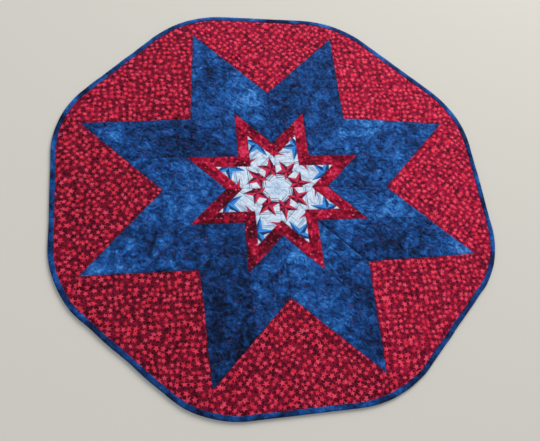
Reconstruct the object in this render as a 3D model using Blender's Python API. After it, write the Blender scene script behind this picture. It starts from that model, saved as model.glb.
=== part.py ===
"""Quilted table topper: an eight-pointed pieced star on an octagonal ground, bound all round.

Sizes are in millimetres and are turned to metres when a mesh is made. +Z is up, the topper lies flat,
and the origin is on its underside, below the middle of the star.
"""

from collections import namedtuple
from math import ceil, cos, radians, sin, sqrt, tau

import bmesh
import bpy
from mathutils import Matrix, Vector
from mathutils.geometry import delaunay_2d_cdt, intersect_line_line_2d

MM = 0.001
FIT_GAP = 0.3

# The star, as finished sizes between seams, and the octagon round it.
WHITE_DIAMOND_SIDE = 58.0
RED_STRIP_WIDTH = 18.8
BLUE_STRIP_WIDTH = 72.3
SIDE_DISTANCE = 357.0
ARM_ANGLE = 45.0

# Thickness of the layers, from the table up. A patch is thinnest at its seams.
BODY_THICKNESS = 2.0
BODY_EDGE_LIFT = 1.3
PATCH_SEAM_THICKNESS = 0.9
PUFF_RISE = 2.3
PUFF_UNEVENNESS = 0.3
SEAM_PUFF_SHARE = 0.45
LOWEST_RELIEF = 0.1
WAVE_RISE = 0.35
WAVE_FADE_START = 270.0
WAVE_FADE_END = 330.0

# The quilting: overlapping swirls on a loose triangular layout.
SWIRL_PITCH = 24.0
SWIRL_SHIFT = 5.0
PUFF_REACH = 0.6
SEAM_POINT_PITCH = 12.5
SEAM_CLEARANCE = 5.2
CREASE_POINT_PITCH = 11.0
CREASE_CLEARANCE = 7.5

# The binding: a folded strip round the edge, widest at its lips.
BINDING_WIDTH = 8.3
BINDING_WALL = 2.6
BINDING_LIP = 1.0
BINDING_CROWN = 1.35
LIP_DEPTH = BINDING_WIDTH + 2 * FIT_GAP
CORNER_STEPS = 8
SIDE_STEPS = 8

# One row for each arm of the star, counter-clockwise. An arm's tip lies half an arm's angle past the
# last notch, and the notch, and the middle of the side beyond it, half an angle past the tip. Drifts are
# the millimetres by which each lies further out than in an even star, and turns the degrees by which it
# lies further round.
Arm = namedtuple("Arm", "tip_drift tip_turn notch_drift notch_turn side_drift side_turn corner_radius")
ARMS = (
    Arm(-11.0, -1.3, 1.2, 0.3, -4.9, 0.3, 176.0),
    Arm(-10.0, -0.7, -0.2, -0.5, -3.9, -1.8, 175.0),
    Arm(-10.0, -1.1, 3.6, 0.3, -2.6, -1.4, 183.0),
    Arm(-5.0, 0.5, -0.5, -0.1, 2.0, 0.5, 163.0),
    Arm(-4.0, 1.2, 4.7, 0.3, 5.3, 0.7, 169.0),
    Arm(-4.0, 0.7, 0.5, 0.3, 3.1, 1.8, 162.0),
    Arm(-7.0, 0.5, 3.0, -0.2, 2.9, 0.1, 176.0),
    Arm(-3.0, 0.3, 0.2, -0.9, 1.6, 0.9, 152.0),
)

# Slow waves of the whole topper: the length of each, the way it runs in degrees, where it starts in
# degrees of its turn, and its share of the rise.
Wave = namedtuple("Wave", "length direction phase share")
WAVES = (
    Wave(390.0, 15.0, 40.0, 0.6),
    Wave(460.0, 100.0, 70.0, 0.5),
    Wave(265.0, -45.0, 0.0, 0.4),
)

# Creases pressed across the quilting: each runs from one place to another, in millimetres from the middle.
Crease = namedtuple("Crease", "start_x start_y end_x end_y depth")
CREASES = (
    Crease(-241, -68, -205, -79, 0.5),
    Crease(-182, -66, -198, -108, 0.6),
    Crease(62, -62, 118, -118, 0.4),
    Crease(-38, -150, -22, -196, 0.3),
)

Finish = namedtuple("Finish", "name colour roughness")
WHITE_PRINT = Finish("white_star_cotton", (0.80, 0.85, 0.87), 0.85)
RED_TONAL = Finish("crimson_tonal_cotton", (0.30, 0.012, 0.028), 0.85)
BLUE_MOTTLE = Finish("navy_mottled_cotton", (0.022, 0.075, 0.23), 0.85)
STAR_PRINT = Finish("red_star_print_cotton", (0.32, 0.02, 0.035), 0.85)
BINDING_MOTTLE = Finish("navy_binding_cotton", (0.022, 0.07, 0.22), 0.85)
BACKING = Finish("navy_backing_cotton", (0.02, 0.06, 0.19), 0.9)

Station = namedtuple("Station", "place inward")


def clear_scene():
    """Empty the file of its starting objects."""
    for item in list(bpy.data.objects):
        bpy.data.objects.remove(item, do_unlink=True)


def make_collection(name):
    """Return a new collection linked to the scene."""
    collection = bpy.data.collections.new(name)
    bpy.context.scene.collection.children.link(collection)
    return collection


def make_material(finish):
    """Return a plain cloth material with the finish's colour and roughness."""
    material = bpy.data.materials.new(finish.name)
    material.use_nodes = True
    shader = material.node_tree.nodes["Principled BSDF"]
    shader.inputs["Base Color"].default_value = (*finish.colour, 1.0)
    shader.inputs["Roughness"].default_value = finish.roughness
    shader.inputs["Metallic"].default_value = 0.0
    return material


def polar(radius, angle):
    """Return the point at a distance from the middle and an angle in degrees."""
    return Vector((radius * cos(radians(angle)), radius * sin(radians(angle))))


def uneven(column, row, salt):
    """Return a number from 0 to 1 that looks random but is the same for the same place."""
    value = sin(column * 12.9898 + row * 78.233 + salt * 37.719) * 43758.5453
    return value - int(value) if value >= 0 else value - int(value) + 1.0


def smooth_step(low, high, value):
    """Return 0 below low and 1 above high, with a smooth rise between them."""
    share = min(1.0, max(0.0, (value - low) / (high - low)))
    return share * share * (3.0 - 2.0 * share)


def star_side(strip_widths):
    """Return the side of the star's diamonds once strips of these widths are sewn round the white ones."""
    return WHITE_DIAMOND_SIDE + sum(strip_widths) / sin(radians(ARM_ANGLE))


def even_star(side):
    """Return the tips and notches of an even star of diamonds with the given side."""
    tip_radius = 2.0 * side * cos(radians(ARM_ANGLE / 2))
    tips = [polar(tip_radius, ARM_ANGLE * (arm + 0.5)) for arm in range(len(ARMS))]
    notches = [polar(side, ARM_ANGLE * (arm + 1)) for arm in range(len(ARMS))]
    return tips, notches


def drifted(point, drift, turn):
    """Return a point moved outward by a drift and round the middle by a turn in degrees."""
    moved = point + point.normalized() * drift
    moved.rotate(Matrix.Rotation(radians(turn), 2))
    return moved


def outer_star():
    """Return the tips and notches of the blue star, uneven as the arms' table says."""
    tips, notches = even_star(star_side((RED_STRIP_WIDTH, BLUE_STRIP_WIDTH)))
    tips = [drifted(tip, arm.tip_drift, arm.tip_turn) for tip, arm in zip(tips, ARMS)]
    notches = [drifted(notch, arm.notch_drift, arm.notch_turn) for notch, arm in zip(notches, ARMS)]
    return tips, notches


def side_direction(index):
    """Return the angle in degrees at which a side of the octagon faces."""
    return ARM_ANGLE * (index + 1) + ARMS[index].side_turn


def sharp_corner(index):
    """Return where the straight sides on both hands of an arm's tip would meet."""
    before, after = (index - 1) % len(ARMS), index
    angle_before, angle_after = side_direction(before), side_direction(after)
    normal_before, normal_after = polar(1.0, angle_before), polar(1.0, angle_after)
    reach_before = SIDE_DISTANCE + ARMS[before].side_drift
    reach_after = SIDE_DISTANCE + ARMS[after].side_drift
    cross = normal_before.x * normal_after.y - normal_before.y * normal_after.x
    return Vector((
        (reach_before * normal_after.y - reach_after * normal_before.y) / cross,
        (reach_after * normal_before.x - reach_before * normal_after.x) / cross,
    ))


def corner_stations(index):
    """Return the stations of the rounded corner beyond an arm's tip, as an arc."""
    start = side_direction((index - 1) % len(ARMS))
    turn = (side_direction(index) - start) % 360.0
    radius = ARMS[index].corner_radius
    middle = start + turn / 2
    centre = sharp_corner(index) - polar(radius / cos(radians(turn / 2)), middle)
    stations = []
    for step in range(CORNER_STEPS + 1):
        angle = start + turn * step / CORNER_STEPS
        stations.append(Station(centre + polar(radius, angle), -polar(1.0, angle)))
    return stations


def outline_stations():
    """Return the stations round the whole edge, and the place of each corner's middle in that list."""
    corners = [corner_stations(index) for index in range(len(ARMS))]
    stations, corner_middles = [], []
    for index, corner in enumerate(corners):
        corner_middles.append(len(stations) + CORNER_STEPS // 2)
        stations.extend(corner)
        start, end = corner[-1], corners[(index + 1) % len(ARMS)][0]
        for step in range(1, SIDE_STEPS):
            share = step / SIDE_STEPS
            stations.append(Station(start.place.lerp(end.place, share), start.inward.copy()))
    return stations, corner_middles


def inset_points(stations, depth):
    """Return the outline's points moved inward by a depth."""
    return [station.place + station.inward * depth for station in stations]


def swirl_site(column, row):
    """Return the middle of a quilted swirl, shifted from its even place, and the share of the full rise."""
    even_x = (column + 0.5 * (row % 2)) * SWIRL_PITCH
    even_y = row * SWIRL_PITCH * sqrt(3) / 2
    shift_x = (uneven(column, row, 1) - 0.5) * SWIRL_SHIFT
    shift_y = (uneven(column, row, 2) - 0.5) * SWIRL_SHIFT
    rise_share = 1.0 - PUFF_UNEVENNESS * uneven(column, row, 3)
    return Vector((even_x + shift_x, even_y + shift_y)), rise_share


def puff(point):
    """Return how far the quilting lifts the cloth at a point: a dome round the nearest swirl's middle."""
    row = round(point.y / (SWIRL_PITCH * sqrt(3) / 2))
    best = 0.0
    for near_row in (row - 1, row, row + 1):
        column = round(point.x / SWIRL_PITCH - 0.5 * (near_row % 2))
        for near_column in (column - 1, column, column + 1):
            site, rise_share = swirl_site(near_column, near_row)
            distance = (point - site).length / (PUFF_REACH * SWIRL_PITCH)
            best = max(best, rise_share * (1.0 - distance * distance))
    return PUFF_RISE * best


def wave(point):
    """Return the slow rise and fall of the whole topper, which dies out towards the binding."""
    swell = 0.0
    for wave_row in WAVES:
        travel = point.dot(polar(1.0, wave_row.direction)) / wave_row.length
        swell += wave_row.share * sin(tau * travel + radians(wave_row.phase))
    return WAVE_RISE * swell * (1.0 - smooth_step(WAVE_FADE_START, WAVE_FADE_END, point.length))


def crease_drop(point):
    """Return how far the creases press the cloth down at a point."""
    drop = 0.0
    for crease in CREASES:
        start = Vector((crease.start_x, crease.start_y))
        along = Vector((crease.end_x, crease.end_y)) - start
        share = min(1.0, max(0.0, (point - start).dot(along) / along.length_squared))
        distance = (point - start - along * share).length
        drop = max(drop, crease.depth * (1.0 - smooth_step(0.0, CREASE_CLEARANCE, distance)))
    return drop


def relief(point, puff_share):
    """Return the height of the top face over a patch's seam thickness."""
    lift = puff_share * puff(point) + wave(point) - crease_drop(point)
    return max(LOWEST_RELIEF, lift)


def crease_points():
    """Return points along every crease, where the mesh bends into the trough."""
    points = []
    for crease in CREASES:
        start, end = Vector((crease.start_x, crease.start_y)), Vector((crease.end_x, crease.end_y))
        steps = ceil((end - start).length / CREASE_POINT_PITCH)
        points.extend(start.lerp(end, step / steps) for step in range(steps + 1))
    return points


def quilting_points(reach):
    """Return the swirls' middles and the low points between every three of them, within a reach."""
    rows, columns = ceil(reach / (SWIRL_PITCH * sqrt(3) / 2)), ceil(reach / SWIRL_PITCH) + 1
    creased = crease_points()
    points = list(creased)
    for row in range(-rows, rows + 1):
        for column in range(-columns, columns + 1):
            middle = swirl_site(column, row)[0]
            beside = swirl_site(column + 1, row)[0]
            above = swirl_site(column + (row % 2), row + 1)[0]
            below = swirl_site(column + (row % 2), row - 1)[0]
            for point in (middle, (middle + beside + above) / 3, (middle + beside + below) / 3):
                if all((point - trough).length > CREASE_CLEARANCE for trough in creased):
                    points.append(point)
    return points


def inset_outline(outline, depth):
    """Return a counter-clockwise outline with every edge moved inward and the corners mitred."""
    moved = []
    for index, corner in enumerate(outline):
        before, after = outline[index - 1], outline[(index + 1) % len(outline)]
        edge_in, edge_out = (corner - before).normalized(), (after - corner).normalized()
        normal_in, normal_out = Vector((-edge_in.y, edge_in.x)), Vector((-edge_out.y, edge_out.x))
        mitre = (normal_in + normal_out).normalized()
        moved.append(corner + mitre * (depth / mitre.dot(normal_in)))
    return moved


def subdivide_outline(outline, pitch):
    """Return an outline with points added along its edges, no further apart than the pitch."""
    points = []
    for start, end in zip(outline, outline[1:] + outline[:1]):
        steps = max(1, ceil((end - start).length / pitch))
        points.extend(start.lerp(end, step / steps) for step in range(steps))
    return points


def distance_to_outline(point, outline):
    """Return the distance from a point to the nearest edge, negative where the point is outside."""
    nearest, inside = 1e9, False
    for start, end in zip(outline, outline[1:] + outline[:1]):
        along = end - start
        share = min(1.0, max(0.0, (point - start).dot(along) / along.length_squared))
        nearest = min(nearest, (point - start - along * share).length)
        if (start.y > point.y) != (end.y > point.y):
            if point.x < start.x + along.x * (point.y - start.y) / along.y:
                inside = not inside
    return nearest if inside else -nearest


def link_mesh(name, mesh_data, material, collection):
    """Turn a finished bmesh in millimetres into a smooth-shaded object in metres."""
    bmesh.ops.recalc_face_normals(mesh_data, faces=mesh_data.faces[:])
    bmesh.ops.scale(mesh_data, vec=(MM, MM, MM), verts=mesh_data.verts[:])
    mesh = bpy.data.meshes.new(name)
    mesh_data.to_mesh(mesh)
    mesh_data.free()
    mesh.shade_smooth()
    mesh.set_sharp_from_angle(angle=radians(40))
    mesh.materials.append(material)
    item = bpy.data.objects.new(name, mesh)
    collection.objects.link(item)
    return item


def patch_points(inset, quilting, edge):
    """Return the quilting's points inside a patch, clear of its seams and of the binding's lip."""
    inner = []
    for point in quilting:
        if distance_to_outline(point, inset) > SEAM_CLEARANCE:
            if distance_to_outline(point, edge) > LIP_DEPTH + SEAM_CLEARANCE:
                inner.append(point)
    return inner


def nearest_index(point, points):
    """Return the place in a list of the point nearest to another."""
    return min(range(len(points)), key=lambda index: (points[index] - point).length)


def make_patch(name, corners, quilting, edge, lip_line, material, collection):
    """Make one patch: a flat sheet cut to its outline, raised on top by the quilting.

    The outline is inset by half a fit gap, filled with triangles that pass through the quilting's
    high and low points, and thickened upward. Its top stays flat beyond the lip line, which lies
    just inside the binding's lip, from seam to seam, and is empty on a patch that misses the edge.
    """
    inset = inset_outline(corners, FIT_GAP / 2)
    rim = subdivide_outline(inset, SEAM_POINT_PITCH)
    inner = patch_points(inset, quilting, edge)
    lip_inner = list(lip_line[1:-1])
    flat_edges = []
    if lip_line:
        chain = [len(rim) + index for index in range(len(lip_inner))]
        chain = [nearest_index(lip_line[0], rim), *chain, nearest_index(lip_line[-1], rim)]
        flat_edges = list(zip(chain, chain[1:]))
    flat = delaunay_2d_cdt(rim + lip_inner + inner, flat_edges, [list(range(len(rim)))], 1, 1e-4)
    places, triangles = flat[0], flat[2]

    bottom = BODY_THICKNESS + FIT_GAP
    sheet = bmesh.new()
    low = [sheet.verts.new((place.x, place.y, bottom)) for place in places]
    faces = [sheet.faces.new([low[corner] for corner in triangle]) for triangle in triangles]
    raised = bmesh.ops.extrude_face_region(sheet, geom=faces, use_keep_orig=True)["geom"]
    for vertex in (item for item in raised if isinstance(item, bmesh.types.BMVert)):
        point = vertex.co.xy
        share = 1.0 if distance_to_outline(point, inset) > FIT_GAP else SEAM_PUFF_SHARE
        under_lip = distance_to_outline(point, edge) < LIP_DEPTH + FIT_GAP
        lift = 0.0 if under_lip else relief(point, share)
        vertex.co.z = bottom + PATCH_SEAM_THICKNESS + lift
    bmesh.ops.dissolve_faces(sheet, faces=faces, use_verts=False)
    loose = [vertex for vertex in sheet.verts if not vertex.link_faces]
    bmesh.ops.delete(sheet, geom=loose, context="VERTS")
    return link_mesh(name, sheet, material, collection)


def sweep_section(stations, section):
    """Return a closed ring: a section of (inward depth, height) pairs carried along the outline."""
    ring = bmesh.new()
    loops = []
    for station in stations:
        places = [(station.place + station.inward * depth, height) for depth, height in section]
        loops.append([ring.verts.new((place.x, place.y, height)) for place, height in places])
    for loop, following in zip(loops, loops[1:] + loops[:1]):
        for index in range(len(section)):
            beside = (index + 1) % len(section)
            ring.faces.new((loop[index], following[index], following[beside], loop[beside]))
    return ring


def binding_section():
    """Return the binding's section as (depth from the edge, height) pairs, from its outermost line.

    It goes up over the crown to the top lip, back under the lip to the wall, down the wall, and out
    along the bottom lip, round a strip that is folded over the raw edge.
    """
    under_lip = BODY_THICKNESS + FIT_GAP + PATCH_SEAM_THICKNESS + FIT_GAP
    crown = under_lip + BINDING_CROWN
    return (
        (0.0, 0.42 * crown),
        (0.04 * BINDING_WIDTH, 0.75 * crown),
        (0.21 * BINDING_WIDTH, 0.96 * crown),
        (0.55 * BINDING_WIDTH, crown),
        (0.94 * BINDING_WIDTH, 0.93 * crown),
        (BINDING_WIDTH, under_lip),
        (BINDING_WALL, under_lip),
        (BINDING_WALL, BINDING_LIP),
        (BINDING_WIDTH, BINDING_LIP),
        (0.95 * BINDING_WIDTH, 0.0),
        (0.12 * BINDING_WIDTH, 0.0),
    )


def make_binding(stations, material, collection):
    """Make the binding: a strip folded round the edge, with a lip above and a lip below the quilt."""
    return link_mesh("binding", sweep_section(stations, binding_section()), material, collection)


def make_body(stations, material, collection):
    """Make the quilted body: batting and backing, flat below and stepped up inside the binding."""
    section = (
        (BINDING_WIDTH + FIT_GAP, 0.0),
        (BINDING_WIDTH + FIT_GAP, BODY_EDGE_LIFT),
        (BINDING_WALL + FIT_GAP, BODY_EDGE_LIFT),
        (BINDING_WALL + FIT_GAP, BODY_THICKNESS),
    )
    body = bmesh.new()
    loops = []
    for depth, height in section:
        loops.append([body.verts.new((*place, height)) for place in inset_points(stations, depth)])
    for lower, upper in zip(loops, loops[1:]):
        for index in range(len(stations)):
            beside = (index + 1) % len(stations)
            body.faces.new((lower[index], lower[beside], upper[beside], upper[index]))
    body.faces.new(list(reversed(loops[0])))
    body.faces.new(loops[-1])
    return link_mesh("quilted_body", body, material, collection)


def strip_corners(inner, outer, arm):
    """Return the corners of an arm's two strips between an inner and an outer star.

    The first strip lies on the arm's counter-clockwise side. The second, sewn on last, holds the tip.
    Its inner seam runs straight on from the inner star's edge to the outer star's far edge.
    """
    inner_tips, inner_notches = inner
    outer_tips, outer_notches = outer
    before = (arm - 1) % len(ARMS)
    seam_start, inner_tip = inner_notches[before], inner_tips[arm]
    beyond = seam_start + (inner_tip - seam_start).normalized() * SIDE_DISTANCE
    seam_end = intersect_line_line_2d(seam_start, beyond, outer_tips[arm], outer_notches[arm])
    first = [inner_tip, seam_end, outer_notches[arm], inner_notches[arm]]
    second = [seam_start, outer_notches[before], outer_tips[arm], seam_end]
    return first, second


def ground_corners(arm, star, stations, corner_middles):
    """Return the corners of the ground patch in the notch after an arm, and its lip line.

    The patch runs under the binding, almost to its wall. The seams on both sides go from the star's
    tips to the lip line, and square on to the edge from there.
    """
    tips, notches = star
    after = (arm + 1) % len(ARMS)
    first, last = corner_middles[arm], corner_middles[after]
    if last < first:
        last += len(stations)
    span = [stations[index % len(stations)] for index in range(first, last + 1)]
    rim = inset_points(span, BINDING_WALL + FIT_GAP / 2)
    lip_line = inset_points(span, LIP_DEPTH)
    return [notches[arm], tips[arm], lip_line[0], *rim, lip_line[-1], tips[after]], lip_line


def make_star(quilting, edge, finishes, collection):
    """Make the star: eight white diamonds, each with two red and two blue strips round its tip."""
    white, red, blue = even_star(WHITE_DIAMOND_SIDE), even_star(star_side((RED_STRIP_WIDTH,))), outer_star()
    rounds = (("red", white, red, RED_TONAL), ("blue", red, blue, BLUE_MOTTLE))
    middle = Vector((0.0, 0.0))
    for arm in range(len(ARMS)):
        before = (arm - 1) % len(ARMS)
        diamond = [middle, white[1][before], white[0][arm], white[1][arm]]
        pieces = [("white_diamond", diamond, WHITE_PRINT)]
        for round_of_strips, inner, outer, finish in rounds:
            first, second = strip_corners(inner, outer, arm)
            pieces.append((f"{round_of_strips}_strip_first", first, finish))
            pieces.append((f"{round_of_strips}_strip_second", second, finish))
        for name, corners, finish in pieces:
            make_patch(f"{name}_{arm + 1}", corners, quilting, edge, [], finishes[finish], collection)
    return blue


def make_ground(star, stations, corner_middles, quilting, edge, finishes, collection):
    """Make the eight ground patches between the star's points, with their rims under the binding."""
    for arm in range(len(ARMS)):
        corners, lip_line = ground_corners(arm, star, stations, corner_middles)
        name = f"ground_patch_{arm + 1}"
        make_patch(name, corners, quilting, edge, lip_line, finishes[STAR_PRINT], collection)


def main():
    """Model the whole topper."""
    clear_scene()
    collection = make_collection("quilted_table_topper")
    all_finishes = (WHITE_PRINT, RED_TONAL, BLUE_MOTTLE, STAR_PRINT, BINDING_MOTTLE, BACKING)
    finishes = {finish: make_material(finish) for finish in all_finishes}
    stations, corner_middles = outline_stations()
    reach = max(station.place.length for station in stations)
    quilting = quilting_points(reach)
    make_body(stations, finishes[BACKING], collection)
    make_binding(stations, finishes[BINDING_MOTTLE], collection)
    edge = inset_points(stations, 0.0)
    star = make_star(quilting, edge, finishes, collection)
    make_ground(star, stations, corner_middles, quilting, edge, finishes, collection)


main()
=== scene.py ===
"""Dress the quilted table topper: pieced cotton, raised quilting, stitched thread and a bound edge.

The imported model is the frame. Sizes here are in millimetres, as in the part's source, and a mesh is
turned to metres when it is made. A place on the cloth is a complex number, x + iy, so that a turn is a
multiplication. Heights are in millimetres above the table.
"""

from __future__ import annotations

import logging
from abc import ABC, abstractmethod
from dataclasses import dataclass
from enum import Enum, IntEnum

import bpy
import numpy as np
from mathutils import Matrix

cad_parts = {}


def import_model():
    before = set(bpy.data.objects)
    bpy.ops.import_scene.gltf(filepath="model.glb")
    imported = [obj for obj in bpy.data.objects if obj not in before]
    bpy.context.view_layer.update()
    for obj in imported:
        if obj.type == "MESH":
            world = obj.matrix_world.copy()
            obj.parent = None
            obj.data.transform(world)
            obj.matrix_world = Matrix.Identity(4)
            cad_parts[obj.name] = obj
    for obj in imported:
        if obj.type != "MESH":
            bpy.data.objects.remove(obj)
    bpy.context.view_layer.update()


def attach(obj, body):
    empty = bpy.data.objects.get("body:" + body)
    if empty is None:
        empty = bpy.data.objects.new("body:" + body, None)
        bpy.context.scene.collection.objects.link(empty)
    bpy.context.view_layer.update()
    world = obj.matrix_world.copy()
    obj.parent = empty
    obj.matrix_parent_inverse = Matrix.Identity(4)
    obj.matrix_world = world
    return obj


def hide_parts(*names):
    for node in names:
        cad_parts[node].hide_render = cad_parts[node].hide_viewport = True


LOG = logging.getLogger("table_topper")
MM = 0.001
ARMS = 8
ARM_ANGLE = 45.0
# The window's direction, by which light is painted into the ground patches' and the binding's tone.
WINDOW_ANGLE = 35.0
GOLDEN_ANGLE = 137.5
SHARP_ANGLE = 55.0
FAR = 99.0
BODY = "root"
CLOTH_MAP = "cloth"

Material = bpy.types.Material
Outputs = bpy.types.bpy_prop_collection
Socket = bpy.types.NodeSocket
Tree = bpy.types.NodeTree
Stops = tuple[tuple[float, str], ...]


class Cloth(Enum):
    """The cloths of the topper, by the names of the record's material slots."""

    WHITE_PRINT = "white_print"
    RED_TONAL = "red_tonal"
    NAVY_MOTTLE = "navy_mottle"
    STAR_PRINT = "star_print"
    BINDING_NAVY = "binding_navy"
    BACKING_NAVY = "backing_navy"

    def softness(self) -> float:
        """Return the share of the quilting's relief that shows in this cloth, away from its seams."""
        shares = {Cloth.WHITE_PRINT: 0.42, Cloth.RED_TONAL: 0.5, Cloth.STAR_PRINT: 0.75}
        return shares.get(self, 1.0)


@dataclass(frozen=True)
class Arm:
    """How far one arm of the star lies from its even place, and how light its cloths are.

    Drifts are in millimetres outward, turns in degrees round, and tones in shares of a cloth's range.
    """

    tip_drift: float
    tip_turn: float
    notch_drift: float
    notch_turn: float
    side_drift: float
    side_turn: float
    corner_radius: float
    first_tone: float
    second_tone: float
    first_red_tone: float
    second_red_tone: float


UNEVEN_ARMS = (
    Arm(-11.0, -1.3, 1.2, 0.3, -4.9, 0.3, 176.0, 0.09, 0.05, -0.06, -0.04),
    Arm(-10.0, -0.7, -0.2, -0.5, -3.9, -1.8, 175.0, -0.01, -0.01, -0.03, 0.045),
    Arm(-10.0, -1.1, 3.6, 0.3, -2.6, -1.4, 183.0, 0.04, 0.07, -0.02, 0.015),
    Arm(-5.0, 0.5, -0.5, -0.1, 2.0, 0.5, 163.0, 0.05, -0.03, 0.02, -0.035),
    Arm(-4.0, 1.2, 4.7, 0.3, 5.3, 0.7, 169.0, -0.02, 0.05, -0.175, -0.115),
    Arm(-4.0, 0.7, 0.5, 0.3, 3.1, 1.8, 162.0, 0.0, -0.08, -0.07, -0.13),
    Arm(-7.0, 0.5, 3.0, -0.2, 2.9, 0.1, 176.0, 0.02, 0.03, 0.01, -0.03),
    Arm(-3.0, 0.3, 0.2, -0.9, 1.6, 0.9, 152.0, 0.1, 0.0, 0.07, -0.065),
)


@dataclass(frozen=True)
class Cloud:
    """One soft patch where the navy cloth was dyed lighter or darker: its middle, reach and strength."""

    x: float
    y: float
    reach: float
    tone: float


CLOUDS = (
    Cloud(-42, 172, 26, 0.15),
    Cloud(108, 277, 13, 0.12),
    Cloud(172, 122, 24, 0.16),
    Cloud(226, 42, 20, 0.13),
    Cloud(182, -40, 20, 0.09),
    Cloud(138, -60, 20, 0.1),
    Cloud(100, -62, 18, 0.1),
    Cloud(62, -85, 15, 0.18),
    Cloud(22, -120, 28, 0.13),
    Cloud(26, -190, 16, 0.09),
    Cloud(72, -236, 20, 0.06),
    Cloud(-60, -66, 16, 0.13),
    Cloud(-145, -24, 26, 0.07),
    Cloud(-176, -130, 16, 0.11),
    Cloud(-288, -124, 20, 0.14),
    Cloud(292, -120, 24, 0.18),
    Cloud(-258, 104, 30, 0.09),
    Cloud(-126, 34, 16, 0.12),
    Cloud(-150, 92, 32, -0.1),
    Cloud(-84, 62, 16, -0.09),
    Cloud(-106, 220, 34, -0.11),
    Cloud(-14, 114, 20, -0.1),
    Cloud(30, 166, 26, -0.07),
    Cloud(88, 62, 16, -0.12),
    Cloud(110, -4, 22, -0.06),
    Cloud(160, -4, 24, -0.11),
    Cloud(146, 38, 26, -0.07),
    Cloud(284, 104, 22, -0.08),
    Cloud(180, -104, 32, -0.12),
    Cloud(112, -190, 28, -0.11),
    Cloud(134, -262, 34, -0.13),
    Cloud(-90, -250, 42, -0.1),
    Cloud(-212, 32, 20, -0.1),
    Cloud(-212, -86, 22, -0.08),
)


def linear(hex_colour: str) -> tuple[float, float, float, float]:
    """Turn an sRGB hex colour to linear light.

    Each channel c from 0 to 1 becomes c / 12.92 below 0.04045, and ((c + 0.055) / 1.055) ** 2.4 above.

    Args:
        hex_colour: Six hex digits after a number sign.

    Returns:
        Red, green, blue and an alpha of one.
    """
    channels = np.array([int(hex_colour[start : start + 2], 16) for start in (1, 3, 5)]) / 255.0
    light = np.where(channels <= 0.04045, channels / 12.92, ((channels + 0.055) / 1.055) ** 2.4)
    return (*light.tolist(), 1.0)


def polar(radius: float | np.ndarray, degrees: float | np.ndarray) -> np.ndarray:
    """Return the place at a distance from the middle and at an angle: radius times e to the i angle."""
    return radius * np.exp(1j * np.radians(degrees))


def dot(first: np.ndarray, second: np.ndarray) -> np.ndarray:
    """Return the dot product of two steps in the plane."""
    return first.real * second.real + first.imag * second.imag


def cross(first: np.ndarray, second: np.ndarray) -> np.ndarray:
    """Return the cross product of two steps in the plane."""
    return first.real * second.imag - first.imag * second.real


def smooth_step(low: float, high: float, value: np.ndarray) -> np.ndarray:
    """Return 0 below low and 1 above high, and t squared times (3 - 2t) between them."""
    share = np.clip((value - low) / (high - low), 0.0, 1.0)
    return share * share * (3.0 - 2.0 * share)


class Chance(IntEnum):
    """What each kind of draw is for, so that no two kinds go together."""

    SITE_X = 1
    SITE_Y = 2
    DOME = 3
    END = 4
    RADIUS = 5
    TURNS = 6
    STRIP_X = 7
    STRIP_Y = 8
    GROUND_X = 9
    GROUND_Y = 10
    SQUEEZE = 11
    SQUEEZE_WAY = 12


def uneven(column: np.ndarray, row: np.ndarray, chance: Chance) -> np.ndarray:
    """Return the fraction of 43758.5453 sin(12.9898 column + 78.233 row + 37.719 chance)."""
    value = np.sin(column * 12.9898 + row * 78.233 + chance * 37.719) * 43758.5453
    return value - np.floor(value)


def length_along(line: np.ndarray) -> np.ndarray:
    """Return how long a line is up to each of its points."""
    return np.concatenate(([0.0], np.cumsum(np.abs(np.diff(line)))))


def points(place: np.ndarray, height: float | np.ndarray) -> np.ndarray:
    """Return a row of x, y and height for each place."""
    return np.stack(np.broadcast_arrays(place.real, place.imag, height), axis=-1).reshape(-1, 3)


def distance_to_line(place: np.ndarray, line: np.ndarray) -> np.ndarray:
    """Measure how far places are from a line of straight steps.

    For a step from a to b the nearest point is a + t (b - a), where t is (p - a).(b - a) / |b - a|^2 held
    from 0 to 1, and the least distance over all the steps counts.

    Args:
        place: The places.
        line: The line's points along the first axis. Its other axes go with those of the places.

    Returns:
        The distance of every place.
    """
    nearest = np.full(place.shape, 1e9, dtype=np.float64)
    for start, end in zip(line[:-1], line[1:]):
        along = end - start
        share = np.clip(dot(place - start, along) / np.maximum(np.abs(along) ** 2, 1e-9), 0.0, 1.0)
        nearest = np.minimum(nearest, np.abs(place - start - along * share))
    return nearest


def inside(place: np.ndarray, outline: np.ndarray) -> np.ndarray:
    """Find the places from which a ray to the right crosses a closed outline an odd number of times.

    Args:
        place: The places.
        outline: The outline's corners.

    Returns:
        True for every place inside.
    """
    crossed = np.zeros(place.shape, dtype=bool)
    for start, end in zip(outline, np.roll(outline, -1)):
        straddles = (start.imag > place.imag) != (end.imag > place.imag)
        rise = end.imag - start.imag
        at = start.real + (end.real - start.real) * (place.imag - start.imag) / (rise if rise else 1e-9)
        crossed ^= straddles & (place.real < at)
    return crossed


def inset(outline: np.ndarray, depth: float) -> np.ndarray:
    """Move every edge of a counter-clockwise outline inward.

    A corner moves along the sum m of the two edge normals, by depth / (m.n), where m has unit length and
    n is either normal.

    Args:
        outline: The corners.
        depth: How far each edge moves.

    Returns:
        The corners of the smaller outline.
    """
    edge_in = outline - np.roll(outline, 1)
    normal_in = 1j * edge_in / np.abs(edge_in)
    normal_out = np.roll(normal_in, -1)
    mitre = normal_in + normal_out
    mitre = mitre / np.abs(mitre)
    return outline + mitre * depth / dot(mitre, normal_in)


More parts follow.
